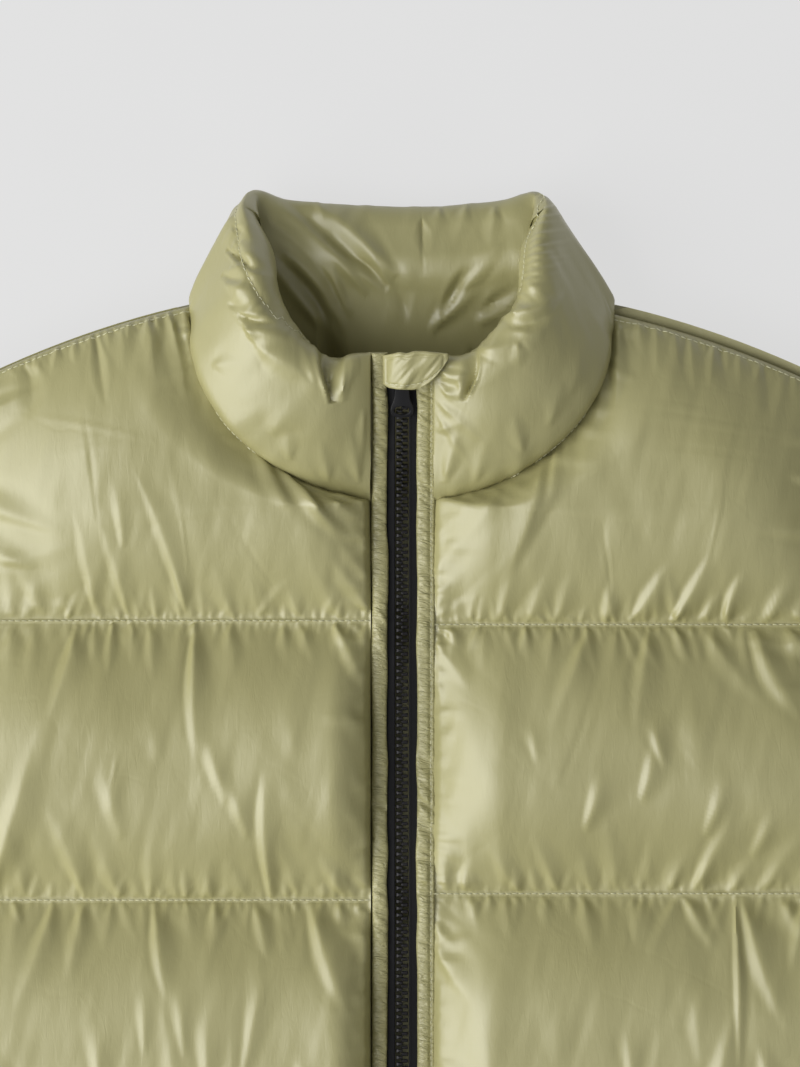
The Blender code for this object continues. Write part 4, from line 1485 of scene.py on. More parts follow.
@dataclass
class PullTab:
    """The pull tab: a flat plate with an eye round the crown's foot and an oval window in its wide end."""

    pivot: tuple[float, float] = (12.25 * MM, 5.1 * MM)
    thickness: float = 1.0 * MM
    edge_round: float = 0.22 * MM
    tilt_degrees: float = 7.5
    eye: tuple[float, float] = (1.4 * MM, 4.2 * MM)
    bar: float = 0.5 * MM
    window: tuple[float, float, float] = (15.4 * MM, 3.7 * MM, 2.1 * MM)
    # The right edge. Columns: half width, and position along it from the pivot, in millimetres.
    edge: tuple = (
        (2.6, 0.5), (3.1, -0.5), (3.3, -6), (3.8, -10), (5, -13.5), (5.3, -15.5), (4.8, -17.4), (3.2, -18.7),
        (1.2, -19),
    )

    def build(self, material: bpy.types.Material) -> bpy.types.Object:
        """Makes the tab on its hinge.

        Args:
            material: the enamelled metal.

        Returns:
            The tab.
        """
        curve = bpy.data.curves.new("pull_tab", "CURVE")
        curve.dimensions = "2D"
        curve.fill_mode = "BOTH"
        curve.extrude = self.thickness / 2 - self.edge_round
        curve.bevel_depth = self.edge_round
        curve.bevel_resolution = 2
        curve.offset = -self.edge_round
        half = np.array(self.edge) * MM
        right = hermite(running_length(half), half, np.linspace(0, running_length(half)[-1], 40))
        self.outline(curve, [(-x, y) for x, y in right[::-1]] + [tuple(p) for p in right])
        eye_x, eye_end = self.eye
        self.outline(curve, [(-eye_x, -self.bar), (eye_x, -self.bar), (eye_x, -eye_end), (-eye_x, -eye_end)])
        window_y, window_x, window_half = self.window
        turns = np.linspace(0, 2 * math.pi, 48, endpoint=False)
        self.outline(curve, [(window_x * math.cos(a), window_half * math.sin(a) - window_y) for a in turns])
        shape = bpy.data.objects.new("pull_tab_shape", curve)
        bpy.context.scene.collection.objects.link(shape)
        bpy.context.view_layer.update()
        mesh = bpy.data.meshes.new_from_object(shape.evaluated_get(bpy.context.evaluated_depsgraph_get()))
        bpy.data.objects.remove(shape)
        finish_mesh(mesh, sharp_degrees=40, merge=1e-6)
        tilt = Matrix.Rotation(math.radians(self.tilt_degrees), 4, "X")
        mesh.transform(PATH.matrix(*self.pivot) @ tilt)
        return add_piece("zip_pull_tab", mesh, material, ("zip_pull",), body="pull")

    def outline(self, curve: bpy.types.Curve, points: list) -> None:
        """Adds one closed outline to a flat curve."""
        spline = curve.splines.new("POLY")
        spline.points.add(len(points) - 1)
        for point, (x, y) in zip(spline.points, points):
            point.co = (x, y, 0.0, 1.0)
        spline.use_cyclic_u = True


# ---- stitches ----
@dataclass
class Stitches:
    """Runs of thread stitches, joined in one mesh."""

    name: str
    length: float = 2.5 * MM
    gap: float = 0.55 * MM
    radius: float = 0.25 * MM
    sink: float = 0.03 * MM
    sides: int = 4
    # The sections of one stitch. Columns: place along it, thickness, and height as a share of the radius.
    sections: tuple = ((0.0, 0.3, -0.5), (0.15, 1.0, 0.25), (0.85, 1.0, 0.25), (1.0, 0.3, -0.5))

    def __post_init__(self) -> None:
        """Starts with no stitch."""
        self.points: list[Array] = []
        self.faces: list = []

    def run(self, line: Array, up: tuple[float, float, float] = (0, 0, 1), seed: int = 5) -> None:
        """Adds a run of stitches along a line on flat cloth, with one way out of the cloth."""
        self.run_on(line, np.tile(np.array(up, float), (len(line), 1)), seed)

    def run_on(self, line: Array, ups: Array, seed: int = 5) -> None:
        """Adds a run of stitches along a line.

        Args:
            line: points on the cloth, (count, 3).
            ups: the way out of the cloth at each point.
            seed: the seed of the small differences between stitches.
        """
        rng = np.random.default_rng(seed)
        along = running_length(line)
        count = int(along[-1] / (self.length + self.gap))
        if count < 1:
            return
        shares, thick, high = np.array(self.sections).T
        turns = np.linspace(0, 2 * math.pi, self.sides, endpoint=False)
        for k in range(count):
            start = (k + 0.5) * along[-1] / count - self.length / 2
            at = start + self.length * shares
            centre = points_at(at, along, line)
            axis = centre[-1] - centre[0]
            size = np.linalg.norm(axis)
            if size < 1e-6:
                continue
            axis /= size
            across = np.cross(axis, points_at(start + self.length / 2, along, ups))
            across /= np.linalg.norm(across)
            out = np.cross(across, axis)
            lift = self.radius * rng.uniform(0.3, 0.7) - self.sink
            bow = high * self.radius + lift
            centre = centre + out * bow[:, None] + across * rng.normal(0, 0.05 * MM)
            ring = np.cos(turns)[:, None] * across + np.sin(turns)[:, None] * out
            points = centre[:, None] + ring[None] * (self.radius * thick)[:, None, None]
            first = len(self.points) * len(shares) * self.sides
            self.points.append(points.reshape(-1, 3))
            self.faces += grid_quads(len(shares), self.sides, first, wrap=True)
            last = first + (len(shares) - 1) * self.sides
            self.faces += [list(range(first, first + self.sides)), list(range(last, last + self.sides))]

    def build(self, material: bpy.types.Material) -> bpy.types.Object:
        """Makes one object of all the runs.

        Args:
            material: the thread.

        Returns:
            The stitches.
        """
        mesh = mesh_from_faces(self.name, np.concatenate(self.points), self.faces)
        return add_piece(self.name, mesh, material)


# ---- finishes ----
VECTOR, NUMBER, COLOUR = "NodeSocketVector", "NodeSocketFloat", "NodeSocketColor"


def add_node(
    tree: bpy.types.NodeTree, kind: str, inputs: dict | None = None, **settings: object
) -> bpy.types.Node:
    """Adds a node to a tree.

    Args:
        tree: the material's tree or a group.
        kind: the node's type, without the words ShaderNode.
        inputs: for inputs by name or number, the value, or the socket that feeds it.
        settings: the node's own settings.

    Returns:
        The node.
    """
    node = tree.nodes.new(f"ShaderNode{kind}")
    for name, value in settings.items():
        setattr(node, name, value)
    for label, value in (inputs or {}).items():
        if isinstance(value, bpy.types.NodeSocket):
            tree.links.new(value, node.inputs[label])
        else:
            node.inputs[label].default_value = value
    return node


def new_group(name: str, inputs: dict[str, tuple], outputs: dict[str, str]) -> tuple:
    """A new shader node group with named sockets.

    Args:
        name: the group's name.
        inputs: each input's socket type, followed by its default value if it has one.
        outputs: each output's socket type.

    Returns:
        The group, the sockets that give its inputs, and the sockets that take its outputs.
    """
    group = bpy.data.node_groups.new(name, "ShaderNodeTree")
    for label, (kind, *default) in inputs.items():
        socket = group.interface.new_socket(name=label, in_out="INPUT", socket_type=kind)
        if default:
            socket.default_value = default[0]
    for label, kind in outputs.items():
        group.interface.new_socket(name=label, in_out="OUTPUT", socket_type=kind)
    given, result = group.nodes.new("NodeGroupInput"), group.nodes.new("NodeGroupOutput")
    return group, dict(given.outputs.items()), dict(result.inputs.items())


def streak_group() -> None:
    """Long soft streaks, as fine cloth shows where it is drawn up: a height that changes over the surface."""
    inputs = {"Vector": (VECTOR,), "Scale": (NUMBER, 400.0), "Stretch": (NUMBER, 0.18), "Turn": (NUMBER, 0.0)}
    group, given, result = new_group("drawn_streaks", inputs, {"Height": NUMBER})
    turned = add_node(
        group, "VectorRotate", {"Vector": given["Vector"], "Angle": given["Turn"]}, rotation_type="Z_AXIS"
    )
    stretch = add_node(group, "CombineXYZ", {"X": 1.0, "Z": 0.5, "Y": given["Stretch"]})
    factors = {0: turned.outputs[0], 1: stretch.outputs[0]}
    scaled = add_node(group, "VectorMath", factors, operation="MULTIPLY")
    grain = {"Detail": 3.0, "Roughness": 0.55, "Distortion": 1.0}
    noise = add_node(group, "TexNoise", {**grain, "Vector": scaled.outputs[0], "Scale": given["Scale"]})
    group.links.new(noise.outputs["Fac"], result["Height"])


def weave_group() -> None:
    """A plain weave, as the height of its threads."""
    inputs = {"Vector": (VECTOR,), "Scale": (NUMBER, 900.0)}
    group, given, result = new_group("plain_weave", inputs, {"Height": NUMBER})
    wave_inputs = {"Distortion": 0.3, "Detail": 1.0, "Vector": given["Vector"], "Scale": given["Scale"]}
    threads = {}
    for number, direction in enumerate(("X", "Y")):
        wave = add_node(group, "TexWave", wave_inputs, bands_direction=direction)
        threads[number] = wave.outputs["Fac"]
    higher = add_node(group, "Math", threads, operation="MAXIMUM")
    group.links.new(higher.outputs[0], result["Height"])


def crinkle_group() -> None:
    """Thin, almost straight creases, as packing leaves in fine cloth: a height that dips at each one."""
    inputs = {"Vector": (VECTOR,), "Scale": (NUMBER, 24.0)}
    group, given, result = new_group("packing_creases", inputs, {"Height": NUMBER})
    bend = add_node(group, "TexNoise", {"Scale": 30.0, "Detail": 3.0, "Vector": given["Vector"]})
    weaker = add_node(group, "VectorMath", {"Scale": 0.022, 0: bend.outputs["Color"]}, operation="SCALE")
    moved = add_node(group, "VectorMath", {0: given["Vector"], 1: weaker.outputs[0]}, operation="ADD")
    cell_inputs = {"Vector": moved.outputs[0], "Scale": given["Scale"]}
    cells = add_node(group, "TexVoronoi", cell_inputs, feature="DISTANCE_TO_EDGE")
    dip_inputs = {"From Max": 0.035, "Value": cells.outputs["Distance"]}
    dip = add_node(group, "MapRange", dip_inputs, interpolation_type="SMOOTHSTEP")
    group.links.new(dip.outputs["Result"], result["Height"])


def drift_group() -> None:
    """A colour that drifts softly between two shades over the surface."""
    inputs = {"Vector": (VECTOR,), "Scale": (NUMBER, 14.0), "Shade A": (COLOUR,), "Shade B": (COLOUR,)}
    group, given, result = new_group("shade_drift", inputs, {"Color": COLOUR, "Mask": NUMBER})
    noise = add_node(group, "TexNoise", {"Detail": 4.0, "Vector": given["Vector"], "Scale": given["Scale"]})
    spread = add_node(group, "MapRange", {"From Min": 0.35, "From Max": 0.65, "Value": noise.outputs["Fac"]})
    mix = add_node(
        group, "Mix", {"Factor": spread.outputs["Result"], "A": given["Shade A"], "B": given["Shade B"]},
        data_type="RGBA",
    )
    group.links.new(mix.outputs["Result"], result["Color"])
    group.links.new(spread.outputs["Result"], result["Mask"])


@dataclass(frozen=True)
class Finish:
    """A surface: two close shades, its gloss and its fine relief."""

    name: str
    shade_a: tuple[float, float, float]
    shade_b: tuple[float, float, float]
    roughness: float
    roughness_spread: float = 0.04
    metallic: float = 0.0
    specular: float = 0.5
    sheen: float = 0.0
    sheen_roughness: float = 0.4
    coat: float = 0.0
    coat_roughness: float = 0.3
    drift_scale: float = 14.0
    streak_scale: float = 0.0
    streak_stretch: float = 0.2
    streak_depth: float = 0.1 * MM
    streak_turn: float = 0.0
    crinkle_scale: float = 0.0
    crinkle_depth: float = 0.15 * MM
    weave_scale: float = 0.0
    weave_depth: float = 0.02 * MM
    extra: dict = field(default_factory=dict)

    def build(self) -> bpy.types.Material:
        """Makes the material from the shared groups.

        Returns:
            The material.
        """
        material = bpy.data.materials.new(self.name)
        material.use_nodes = True
        tree = material.node_tree
        shader = tree.nodes["Principled BSDF"]
        shader.inputs["Metallic"].default_value = self.metallic
        shader.inputs["Specular IOR Level"].default_value = self.specular
        shader.inputs["Sheen Weight"].default_value = self.sheen
        shader.inputs["Sheen Roughness"].default_value = self.sheen_roughness
        shader.inputs["Coat Weight"].default_value = self.coat
        shader.inputs["Coat Roughness"].default_value = self.coat_roughness
        for label, value in self.extra.items():
            shader.inputs[label].default_value = value
        place = add_node(tree, "TexCoord").outputs["Object"]
        shades = {"Shade A": (*self.shade_a, 1.0), "Shade B": (*self.shade_b, 1.0)}
        groups = bpy.data.node_groups
        inputs = {"Scale": self.drift_scale, **shades, "Vector": place}
        drift = add_node(tree, "Group", inputs, node_tree=groups["shade_drift"])
        tree.links.new(drift.outputs["Color"], shader.inputs["Base Color"])
        low, high = self.roughness - self.roughness_spread, self.roughness + self.roughness_spread
        gloss = add_node(tree, "MapRange", {"To Min": low, "To Max": high, "Value": drift.outputs["Mask"]})
        tree.links.new(gloss.outputs["Result"], shader.inputs["Roughness"])
        streaks = {"Stretch": self.streak_stretch, "Turn": self.streak_turn}
        relief = {}
        for kind, scale, depth, more in (
            ("drawn_streaks", self.streak_scale, self.streak_depth, streaks),
            ("packing_creases", self.crinkle_scale, self.crinkle_depth, {}),
            ("plain_weave", self.weave_scale, self.weave_depth, {}),
        ):
            if scale > 0:
                inputs = {"Scale": scale, **more, "Vector": place}
                height = add_node(tree, "Group", inputs, node_tree=groups[kind]).outputs["Height"]
                bump = add_node(tree, "Bump", {"Distance": depth, "Height": height, **relief})
                relief = {"Normal": bump.outputs["Normal"]}
        if relief:
            tree.links.new(relief["Normal"], shader.inputs["Normal"])
        return material


NYLON = Finish(
    "sage_nylon", (0.345, 0.322, 0.140), (0.365, 0.342, 0.153), 0.44, specular=0.9, coat=0.3,
    coat_roughness=0.42, streak_scale=360.0, streak_stretch=0.22, streak_depth=0.12 * MM, crinkle_scale=15.0,
    crinkle_depth=0.03 * MM,
)
GATHERED_NYLON = replace(
    NYLON, name="gathered_nylon", streak_scale=560.0, streak_depth=1.5 * MM, streak_turn=1.75,
    crinkle_scale=0.0,
)
THREAD = Finish("sage_thread", (0.58, 0.57, 0.37), (0.63, 0.62, 0.42), 0.55, sheen=0.2, weave_scale=2500.0)
TAPE = Finish(
    "black_tape", (0.010, 0.010, 0.011), (0.014, 0.014, 0.015), 0.78, specular=0.2, weave_scale=700.0,
    weave_depth=0.1 * MM,
)
MOULDING = Finish(
    "black_moulding", (0.007, 0.007, 0.008), (0.011, 0.011, 0.012), 0.34, specular=0.35, streak_scale=900.0,
    streak_stretch=1.0, streak_depth=0.01 * MM,
)
ENAMEL = Finish(
    "black_enamel", (0.006, 0.006, 0.007), (0.009, 0.009, 0.010), 0.30, specular=0.4, streak_scale=600.0,
    streak_stretch=1.0, streak_depth=0.01 * MM,
)
FLOOR = Finish(
    "pale_floor", (0.09, 0.09, 0.09), (0.095, 0.095, 0.095), 0.9, specular=0.0,
    extra={"Emission Color": (1.0, 1.0, 1.0, 1.0), "Emission Strength": 0.665},
)


# ---- studio ----
@dataclass
class Studio:
    """The plain floor, the soft light from the left and the camera straight above the collar."""

    centre: tuple[float, float] = (-0.00094, 0.19963)
    picture_height: float = 0.4994
    focus_z: float = 0.040
    lens: float = 200.0
    sensor: float = 36.0
    floor_size: float = 12.0
    floor_gap: float = 0.5 * MM  # under the jacket
    # Columns: name, place, side and power.
    lights: tuple = (
        ("key_light", (-1.85, -0.25, 1.62), 2.7, 93.0),
        ("fill_light", (0.8, -0.6, 2.2), 2.2, 4.0),
    )
    daylight: float = 0.21

    def build(self, material: bpy.types.Material) -> None:
        """Makes the floor, the lights and the camera.

        Args:
            material: the floor's finish.
        """
        mesh = bpy.data.meshes.new("studio_floor")
        half = self.floor_size / 2
        corners = [(-half, -half, 0), (half, -half, 0), (half, half, 0), (-half, half, 0)]
        mesh.from_pydata(corners, [], [(0, 1, 2, 3)])
        floor = new_object("studio_floor", mesh, material)
        floor.location.z = -self.floor_gap
        data = bpy.data.cameras.new("camera")
        data.lens = self.lens
        data.sensor_width = self.sensor
        data.clip_end = 100.0
        camera = bpy.data.objects.new("camera", data)
        bpy.context.scene.collection.objects.link(camera)
        distance = self.picture_height * self.lens / self.sensor
        camera.location = (*self.centre, self.focus_z + distance)
        bpy.context.scene.camera = camera
        for light in self.lights:
            self.light(*light)
        world = bpy.data.worlds.new("studio")
        world.use_nodes = True
        background = world.node_tree.nodes["Background"]
        background.inputs["Color"].default_value = (1, 1, 1, 1)
        background.inputs["Strength"].default_value = self.daylight
        bpy.context.scene.world = world
        bpy.context.scene.view_settings.view_transform = "Standard"

    def light(self, name: str, place: tuple[float, float, float], size: float, watts: float) -> None:
        """Adds a square soft light that faces the collar.

        Args:
            name: the light's name.
            place: where it hangs.
            size: its side.
            watts: its power.
        """
        data = bpy.data.lights.new(name, "AREA")
        data.shape = "SQUARE"
        data.size = size
        data.energy = watts
        light = bpy.data.objects.new(name, data)
        bpy.context.scene.collection.objects.link(light)
        light.location = place
        aim = Vector((*self.centre, 0.0)) - Vector(place)
        light.rotation_euler = aim.to_track_quat("-Z", "Y").to_euler()


# ---- main creases, from the photograph ----
# Columns: root x and y, tip x and y, width, height, lean, bow. Lengths in millimetres.
RIGHT_FRONT_FOLDS = (
    (-183, -146, -186, -113, 3.7, 0.9, -0.3), (-168, -147, -183, -118, 3.7, 1.4, -0.4, 1),
    (-155, -148, -161, -132, 2.3, 0.6), (-143, -148, -153, -96, 3.7, 1.4, -0.4, 1),
    (-128, -148, -141, -102, 3.7, 1.5, -0.4, 1), (-118, -148, -121, -135, 1.9, 0.6),
    (-100, -148, -124, -78, 4.2, 2.1, -0.45, 2), (-92, -148, -95, -132, 2.3, 0.6),
    (-80, -148, -88, -120, 3.7, 0.9), (-66, -148, -71, -127, 3.3, 0.9, -0.2),
    (-48, -148, -54, -130, 3.3, 0.7), (-29, -148, -48, -111, 4.7, 1), (-14, -145, -34, -118, 3.3, 1.5),
    (-13, -133, -30, -111, 2.8, 1.2), (-13, -118, -27, -98, 2.8, 1.1),
    (-58, -77, -20, -113, 2.6, 3.2, 0.3, -1), (-50, -82, -26, -114, 2.4, 1.8, 0.2),
    (-70, -68, -52, -98, 3, 1.8, 0.2, 1), (-67, -73, -48, -102, 4.2, 1), (-34, -91, -15, -104, 2.3, 1.8),
    (-103, -2, -90, -50, 3.4, 3, 0.3, 1), (-110, -3, -101, -46, 2.8, 2.2, 0.2, 1),
    (-119, -6, -115, -38, 3.3, 1.4, 0.2), (-131, -9, -130, -32, 3.3, 1), (-144, -14, -138, -49, 2.3, -1.5),
    (-177, -25, -174, -55, 4.2, -1.6, 0, 2), (-162, -18, -164, -36, 2.8, 0.7),
    (-92, -38, -78, -64, 4.2, 1.2, 0.2), (-183, -150, -184, -181, 3.7, 1.4, -0.3),
    (-172, -150, -175, -180, 2.8, 1.5, -0.3), (-152, -151, -164, -193, 4.2, 2.1, -0.35, 1),
    (-144, -150, -144, -169, 2.3, 1.1, -0.2), (-136, -150, -137, -174, 2.3, 1.3, -0.2),
    (-126, -150, -126, -169, 2.3, 1, -0.2), (-118, -150, -116, -176, 2.8, 1.4, -0.2),
    (-97, -150, -95, -219, 4.2, 3, -0.45, -1.5), (-82, -150, -76, -181, 4.2, 1),
    (-56, -150, -52, -171, 2.8, 0.9), (-48, -150, -41, -168, 2.8, 1.1, -0.2),
    (-32, -150, -16, -182, 4.2, 2.8, -0.35), (-23, -150, -14, -161, 2.3, 1.4),
    (-13, -212, -28, -188, 3.3, 1.4), (-13, -236, -24, -218, 2.8, 1.3), (-13, -256, -27, -233, 3.3, 1.1),
    (-176, -279, -185, -242, 4.7, 1.2), (-148, -279, -167, -232, 4.7, 2.2, -0.35, 1),
    (-132, -279, -145, -245, 4.2, 1.4, -0.2), (-118, -279, -117, -249, 3.3, 1.2, -0.2),
    (-105, -279, -108, -262, 2.8, 0.9), (-92, -279, -90, -257, 3.7, 1), (-76, -279, -77, -263, 2.8, 0.8),
    (-61, -279, -64, -216, 4.2, 2.8, -0.45, -2), (-48, -279, -58, -249, 3.3, 1.4, -0.2),
    (-26, -278, -39, -257, 3.7, 2, -0.3), (-37, -279, -36, -270, 2.3, 1.1),
    (-180, -281, -183, -307, 3.7, 1.1), (-163, -281, -182, -334, 4.7, 2.1, -0.35, 1),
    (-149, -281, -156, -315, 3.7, 1.7, -0.3), (-136, -281, -139, -303, 2.8, 1),
    (-116, -281, -109, -327, 4.2, 2.7, -0.45, -1), (-101, -281, -99, -298, 2.3, 0.9),
    (-88, -281, -88, -303, 2.8, 1.3, -0.2), (-69, -281, -62, -308, 3.3, 1.9, -0.3),
    (-54, -281, -51, -298, 2.3, 1), (-43, -281, -22, -336, 5.6, 3.3, -0.4, -2),
    (-30, -281, -26, -293, 2.3, 1), (-13, -311, -23, -285, 3.3, 1.7), (-13, -334, -24, -320, 2.8, 1.3),
    (-13, -354, -23, -337, 2.8, 1.2),
)
RIGHT_FRONT_FREE_FOLDS = (
    (-133, -80, -130, -115, 2.8, 1.5, -0.3), (-34, -59, -48, -41, 6.6, 0.8),
    (-92, -197, -82, -233, 3.7, 2.5, -0.4, -1), (-81, -218, -72, -249, 3.7, 2.3, -0.4, -1),
    (-139, -209, -131, -250, 4.2, 1.8, -0.3, -1.5), (-132, -207, -135, -226, 1, 0.6),
    (-118, -186, -113, -214, 4.7, 0.8), (-57, -181, -48, -214, 5.6, 0.9),
    (-63, -304, -74, -360, 3.7, 1.9, -0.3), (-144, -328, -140, -373, 3.7, 1.6, -0.3),
    (-120, -317, -120, -350, 2.8, 1.5, -0.3), (-105, -313, -101, -352, 3.3, 1.6, -0.3),
    (-91, -322, -91, -373, 3.7, 1.6, -0.3), (-48, -345, -43, -378, 4.2, 1.4, -0.3),
    (-186, -52, -112, -66, 1.1, 0.4, 0, 2), (-170, -74, -104, -62, 0.9, 0.3, 0, -1),
    (-150, -40, -142, -104, 1.2, -0.45, 0, 1), (-84, -96, -58, -136, 1.2, -0.4),
    (-112, -58, -100, -128, 1, 0.35, 0, 2), (-64, -224, -30, -262, 1.2, -0.5, 0, 1),
)
LEFT_FRONT_FOLDS = (
    (32, -149, 35, -134, 2.3, 0.9), (45, -149, 54, -118, 3.7, 1.4, -0.3),
    (59, -149, 67, -127, 3.7, 1.6, -0.3), (72, -149, 80, -125, 3.3, 1.2, -0.2),
    (95, -149, 98, -130, 3.3, 1.5, -0.3), (107, -149, 126, -121, 4.2, 2, -0.4),
    (126, -149, 144, -117, 4.2, 2.8, -0.45, 1), (139, -149, 150, -134, 2.8, 1.3, -0.2),
    (150, -149, 161, -123, 3.7, 2.5, -0.45, -1), (169, -149, 183, -129, 4.2, 1.8, -0.3),
    (182, -149, 192, -136, 3.3, 1.4, -0.2), (15, -144, 28, -123, 3.7, 1.2), (14, -127, 32, -106, 3.7, 1.2),
    (15, -111, 35, -92, 3.3, 1), (67, -71, 45, -133, 4.6, 3, 0.3, 3), (80, -52, 63, -106, 4.6, 2, 0.2, 2),
    (74, -62, 60, -112, 3, 1.8, 0.2, 2), (95, -23, 86, -66, 3.8, 2.8, 0.3, 2),
    (101, -9, 98, -52, 3.3, 2, 0.2, 2), (90, -34, 79, -74, 3, 1.6, 0.2, 1),
    (111, -7, 111, -36, 3.3, 1.1, 0, 1), (124, -9, 128, -32, 3.3, 0.8), (149, -18, 153, -45, 4.2, -1),
    (170, -28, 172, -55, 3.7, -0.9), (46, -86, 28, -111, 3.7, 1.1, 0, 1), (23, -152, 28, -167, 3.3, 1.6),
    (15, -158, 32, -181, 4.2, 1.6, -0.3), (39, -152, 37, -171, 2.8, 1), (58, -152, 59, -168, 2.3, 1),
    (71, -153, 68, -173, 2.8, 1.1), (87, -153, 68, -200, 5.1, 2.2, -0.35, 1), (101, -153, 98, -171, 2.8, 1),
    (116, -153, 109, -205, 4.7, 2.1, -0.35, -1), (128, -153, 135, -169, 2.8, 1.2),
    (141, -153, 168, -186, 4.2, 1.5, 0, -1), (164, -154, 189, -196, 5.6, 3.2, -0.4, -3),
    (182, -154, 192, -167, 3.3, 1.4), (14, -195, 23, -189, 2.3, 1.6), (14, -205, 25, -199, 2.8, 1.8, 0, 1),
    (14, -216, 22, -212, 2.3, 1.3), (22, -277, 18, -256, 3.3, 1.2), (33, -277, 28, -264, 2.8, 1.1),
    (56, -277, 41, -254, 3.7, 1.6, -0.3), (74, -277, 61, -248, 3.7, 1.8, -0.3),
    (89, -277, 83, -254, 3.3, 1.3, -0.2), (101, -277, 95, -238, 4.2, 1.3), (111, -277, 115, -256, 2.8, 1.1),
    (123, -277, 135, -254, 3.7, 1.3), (135, -277, 157, -230, 5.1, 2.9, -0.45, 1),
    (153, -277, 164, -259, 3.3, 1.3), (168, -277, 186, -248, 4.2, 1.7, -0.2),
    (14, -290, 26, -302, 2.8, 2.2, 0, -1), (15, -299, 33, -327, 4.2, 2.4, -0.3, -1),
    (32, -278, 36, -293, 2.8, 1.2), (48, -278, 51, -298, 3.3, 1.2), (68, -278, 67, -293, 2.8, 1),
    (85, -278, 89, -303, 3.7, 1.3), (113, -278, 109, -301, 3.3, 1.5, -0.2),
    (132, -278, 146, -302, 3.7, 2, -0.3), (156, -278, 157, -361, 2.1, 2.4, -0.3),
    (159, -278, 180, -340, 6.1, 3.2, -0.4, -2), (177, -279, 189, -298, 3.7, 1.6),
)
LEFT_FRONT_FREE_FOLDS = (
    (115, -190, 122, -216, 3.3, 1.7, -0.3), (121, -202, 111, -232, 3.7, 2.4, -0.4),
    (95, -216, 85, -246, 3.7, 2.4, -0.4), (60, -194, 63, -214, 3.3, 1.4, -0.3),
    (154, -214, 141, -249, 4.2, 2.6, -0.45), (176, -234, 163, -259, 3.3, 2, -0.35),
    (139, -181, 135, -214, 5.6, 1), (74, -186, 72, -228, 6.6, 0.9), (105, -331, 107, -368, 3.7, 1.6, -0.3),
    (74, -312, 72, -354, 5.6, 1.2), (135, -307, 139, -354, 4.7, 1.3, -0.2), (37, -298, 40, -364, 7.5, 1.4),
    (121, -71, 116, -111, 7.5, 0.9), (55, -158, 46, -214, 8.4, 0.8), (98, -50, 186, -62, 1.1, 0.45, 0, -1),
    (102, -46, 150, -52, 0.9, 0.35), (108, -66, 176, -74, 1, -0.35, 0, 1), (92, -96, 98, -136, 1.1, -0.4),
    (150, -70, 140, -128, 1.1, 0.4, 0, 2), (96, -158, 70, -232, 1.4, -0.6, 0, 2),
)
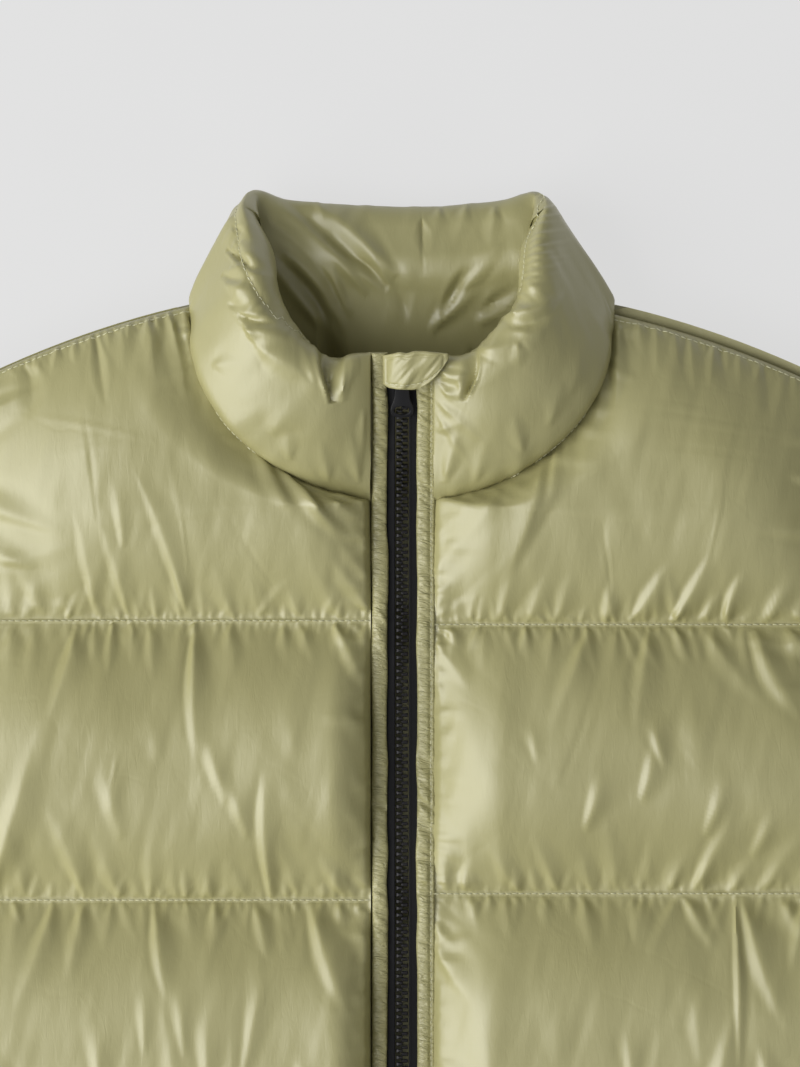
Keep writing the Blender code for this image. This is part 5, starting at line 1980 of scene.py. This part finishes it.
COLLAR_FOLDS = (
    # outside, on the wearer's right
    (-82, 24.8, -60, 11.5, 1.8, -3.2, 0, -1), (-79, 29, -62, 18, 3.4, 1.5, 0, -1),
    (-76, -6.5, -56, -10.8, 2.2, -2.9, 0.3, -1), (-73, -12, -50, -17.5, 4.2, 2.2, 0, -1),
    (-71.5, -12, -66.5, -22, 1.8, 1.6), (-67.4, -21, -43, -35.5, 4.8, 1.9), (-84, 12.6, -68, 7, 2.8, -1.7),
    (-82, 8, -68, 3, 3.4, 1.1), (-81, -1.8, -69, -2.6, 2.6, -1.2), (-80, 36, -72, 31, 1.6, -1.2),
    (-32.4, -47.5, -38.5, -4, 4.2, -7.6, -0.45), (-33, -42, -34.8, -20, 1.3, 2.4),
    (-28.2, -44, -26, -24, 1.6, 1, 0.3), (-40.5, -38, -46, -18, 3.4, 0.9, -0.3),
    (-34, -84, -38, -64, 3.2, 1.1), (-52, -74, -54, -58, 3.2, 1), (-88, -30, -74, -28, 3.2, 1),
    (-20, -84, -24, -60, 3, 1.3), (-61, -62, -50, -40, 6, 1, 0, 2), (-17.5, -50, -19, -78, 2, 1, 0.2),
    # outside, on the wearer's left
    (46.5, -8, 76, 5, 3, 3.2, 0, 2.5), (50, -12.5, 72, -4, 2.8, -1.6, 0, 2),
    (35, -23.2, 55, -19.6, 3.2, 1.7, 0, 1), (53.2, -19.2, 54.2, -32, 2.8, 1.1),
    (62.5, 42, 80, 48, 1.5, 0.9, -0.2), (61.8, 38.5, 82, 43, 1.3, 0.8, -0.2), (61, 35.2, 76, 38.5, 1.3, 0.7),
    (60, 31, 83, 36, 1.5, 0.9, -0.2, 1), (59.4, 27.6, 77, 31.5, 1.2, 0.7),
    (58.8, 24.4, 82, 30.5, 1.4, 0.9, -0.2, 1), (58.2, 20.2, 78, 26, 1.5, 0.9, 0, 1),
    (57.6, 16.6, 80, 22, 1.3, 0.8, -0.2), (57, 12.4, 77, 19, 1.6, 1, 0, 1), (56.4, 8.8, 74, 13, 1.4, 0.9),
    (56, 4.6, 70, 9, 1.6, 0.9), (28.6, -46.5, 33.5, -18, 2.2, -6, 0.5, 2.4),
    (17, -32, 32, -34, 1.9, 1.9, 0, -2), (17, -37, 29, -40.5, 2, -1.6, 0, -1),
    (19, -41.5, 28, -44, 2, 1.1, 0, -1), (17, -34.5, 29, -36.5, 0.9, 0.9, 0, -1),
    (34, -84, 40, -62, 3.2, 1.2), (20, -84, 27, -56, 3.2, 1.7), (56, -70, 52, -52, 3.2, 1),
    (15.5, -60, 30, -56, 2.6, 1), (16, -46, 40, -68, 2.2, 0.9), (16, -52, 34, -80, 1.6, 0.7),
    (78, -44, 86, -14, 4, 0.8), (68, -58, 78, -30, 3.4, 0.8),
    # inside, at the back of the neck
    (-7, 7, -60, 52, 3.8, -4.2, 0, 3), (-3, 13, -56, 56, 5.2, 2.4, 0, 3), (-17, 5, -64, 48, 3.6, 2, 0, 3),
    (-24, -4, -68, 44, 3.8, 2.8, 0.2, 4), (-29, 1, -64, 38, 3.4, -3.8, 0, 4),
    (-26, -13, -66, 34, 3.6, 2.4, 0, 4), (-34, -9, -64, 25, 3.2, -2.4, 0, 3),
    (-38, -12, -64, 18, 3.4, 2, 0, 2), (9, 40, 11, 22, 2.4, -1.4), (9.4, 44, 9.8, 8, 0.8, -0.7),
    (18, -5, 45, 26, 3, -3.2, 0, -2), (13, -12, 38, 8, 3.4, 3.2, 0, -1), (25, 2, 50, 32, 3.2, 2.2, 0, -1),
    (38, -3, 56, 9, 2.6, -2.6), (34, -9, 54, 0, 3, 2.4), (31, 47, 24, 26, 3, 1.3), (18, 46, 15, 29, 2.8, 1.1),
    (44, 46, 41, 26, 3, 1.4), (2, -6, -6, 22, 4.4, -1.8), (-40, 48, -34, 30, 3, 1),
)


def build_jacket(cloth: bpy.types.Material, thread: bpy.types.Material) -> None:
    """Builds the padded panels, the collar and their stitches.

    Args:
        cloth: the shell cloth.
        thread: the sewing thread.
    """
    panels = [BackPanel("back_shell", Layer.LOWER, 0.029, seed=11)]
    halves = (("top", Layer.UPPER, 0.025), ("under", Layer.LOWER, 0.028))
    for side, table, free in (
        (Side.RIGHT, RIGHT_FRONT_FOLDS, RIGHT_FRONT_FREE_FOLDS),
        (Side.LEFT, LEFT_FRONT_FOLDS, LEFT_FRONT_FREE_FOLDS),
    ):
        folds = [Fold.from_row(row) for row in table] + [Fold.from_row(row, free=True) for row in free]
        seed = 100 + side.value * 50
        name = f"front_{side.word}_shell"
        panels.append(FrontPanel(name, Layer.UPPER, 0.026, folds=folds, seed=seed, side=side))
        for half, layer, crown in halves:
            seed += 7
            panels.append(SleeveHalf(f"sleeve_{side.word}_{half}_shell", layer, crown, seed=seed, side=side))
    for panel in panels:
        obj = panel.build(cloth)
        stitches = Stitches(panel.name.replace("_shell", "_stitches"))
        for number, line in enumerate(panel.thread_lines()):
            stitches.run(line, (0, 0, panel.layer.value), seed=number)
        stitches.build(thread)
    collar = Collar()
    collar.build(cloth)
    topstitch = Stitches("collar_stitches")
    topstitch.run_on(collar.stitch_line[4:-4], collar.stitch_out[4:-4])
    for side in Side:
        topstitch.run(collar.rim_line[collar.rim_line[:, 0] * side.value > 0][1:-1])
    topstitch.build(thread)


def build_zip(cloth: bpy.types.Material, gathered: bpy.types.Material, thread: bpy.types.Material) -> None:
    """Builds the facings, the zip and its garage.

    Args:
        cloth: the shell cloth.
        gathered: the shell cloth where stitching draws it up.
        thread: the sewing thread.
    """
    tape, moulding, enamel = TAPE.build(), MOULDING.build(), ENAMEL.build()
    topstitch = Stitches("facing_stitches", length=2.2 * MM, radius=0.2 * MM)
    for side in Side:
        facing = Facing(side)
        facing.build(gathered)
        ZipTape(side).build(tape)
        ZipTeeth(side).build(moulding)
        if side is Side.LEFT:
            topstitch.run(facing.outer[:, round(facing.stitch_share * facing.across)])
    garage = Garage()
    garage.build(cloth)
    topstitch.run(garage.outer[2:-6, -7])
    topstitch.build(thread)
    PullTab().build(enamel)
    for name, material, slot in (("zip_slider", enamel, "zip_metal"), ("zip_box", moulding, "zip_teeth")):
        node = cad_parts[name]
        node.data.materials.clear()
        node.data.materials.append(material)


def main() -> None:
    """Builds the jacket and the studio, one sub-assembly after the other."""
    logging.basicConfig(level=logging.INFO, format="%(name)s: %(message)s")
    for make in (streak_group, crinkle_group, weave_group, drift_group):
        make()
    cloth, thread = NYLON.build(), THREAD.build()
    build_jacket(cloth, thread)
    build_zip(cloth, GATHERED_NYLON.build(), thread)
    Studio().build(FLOOR.build())


if __name__ == "__main__":
    main()
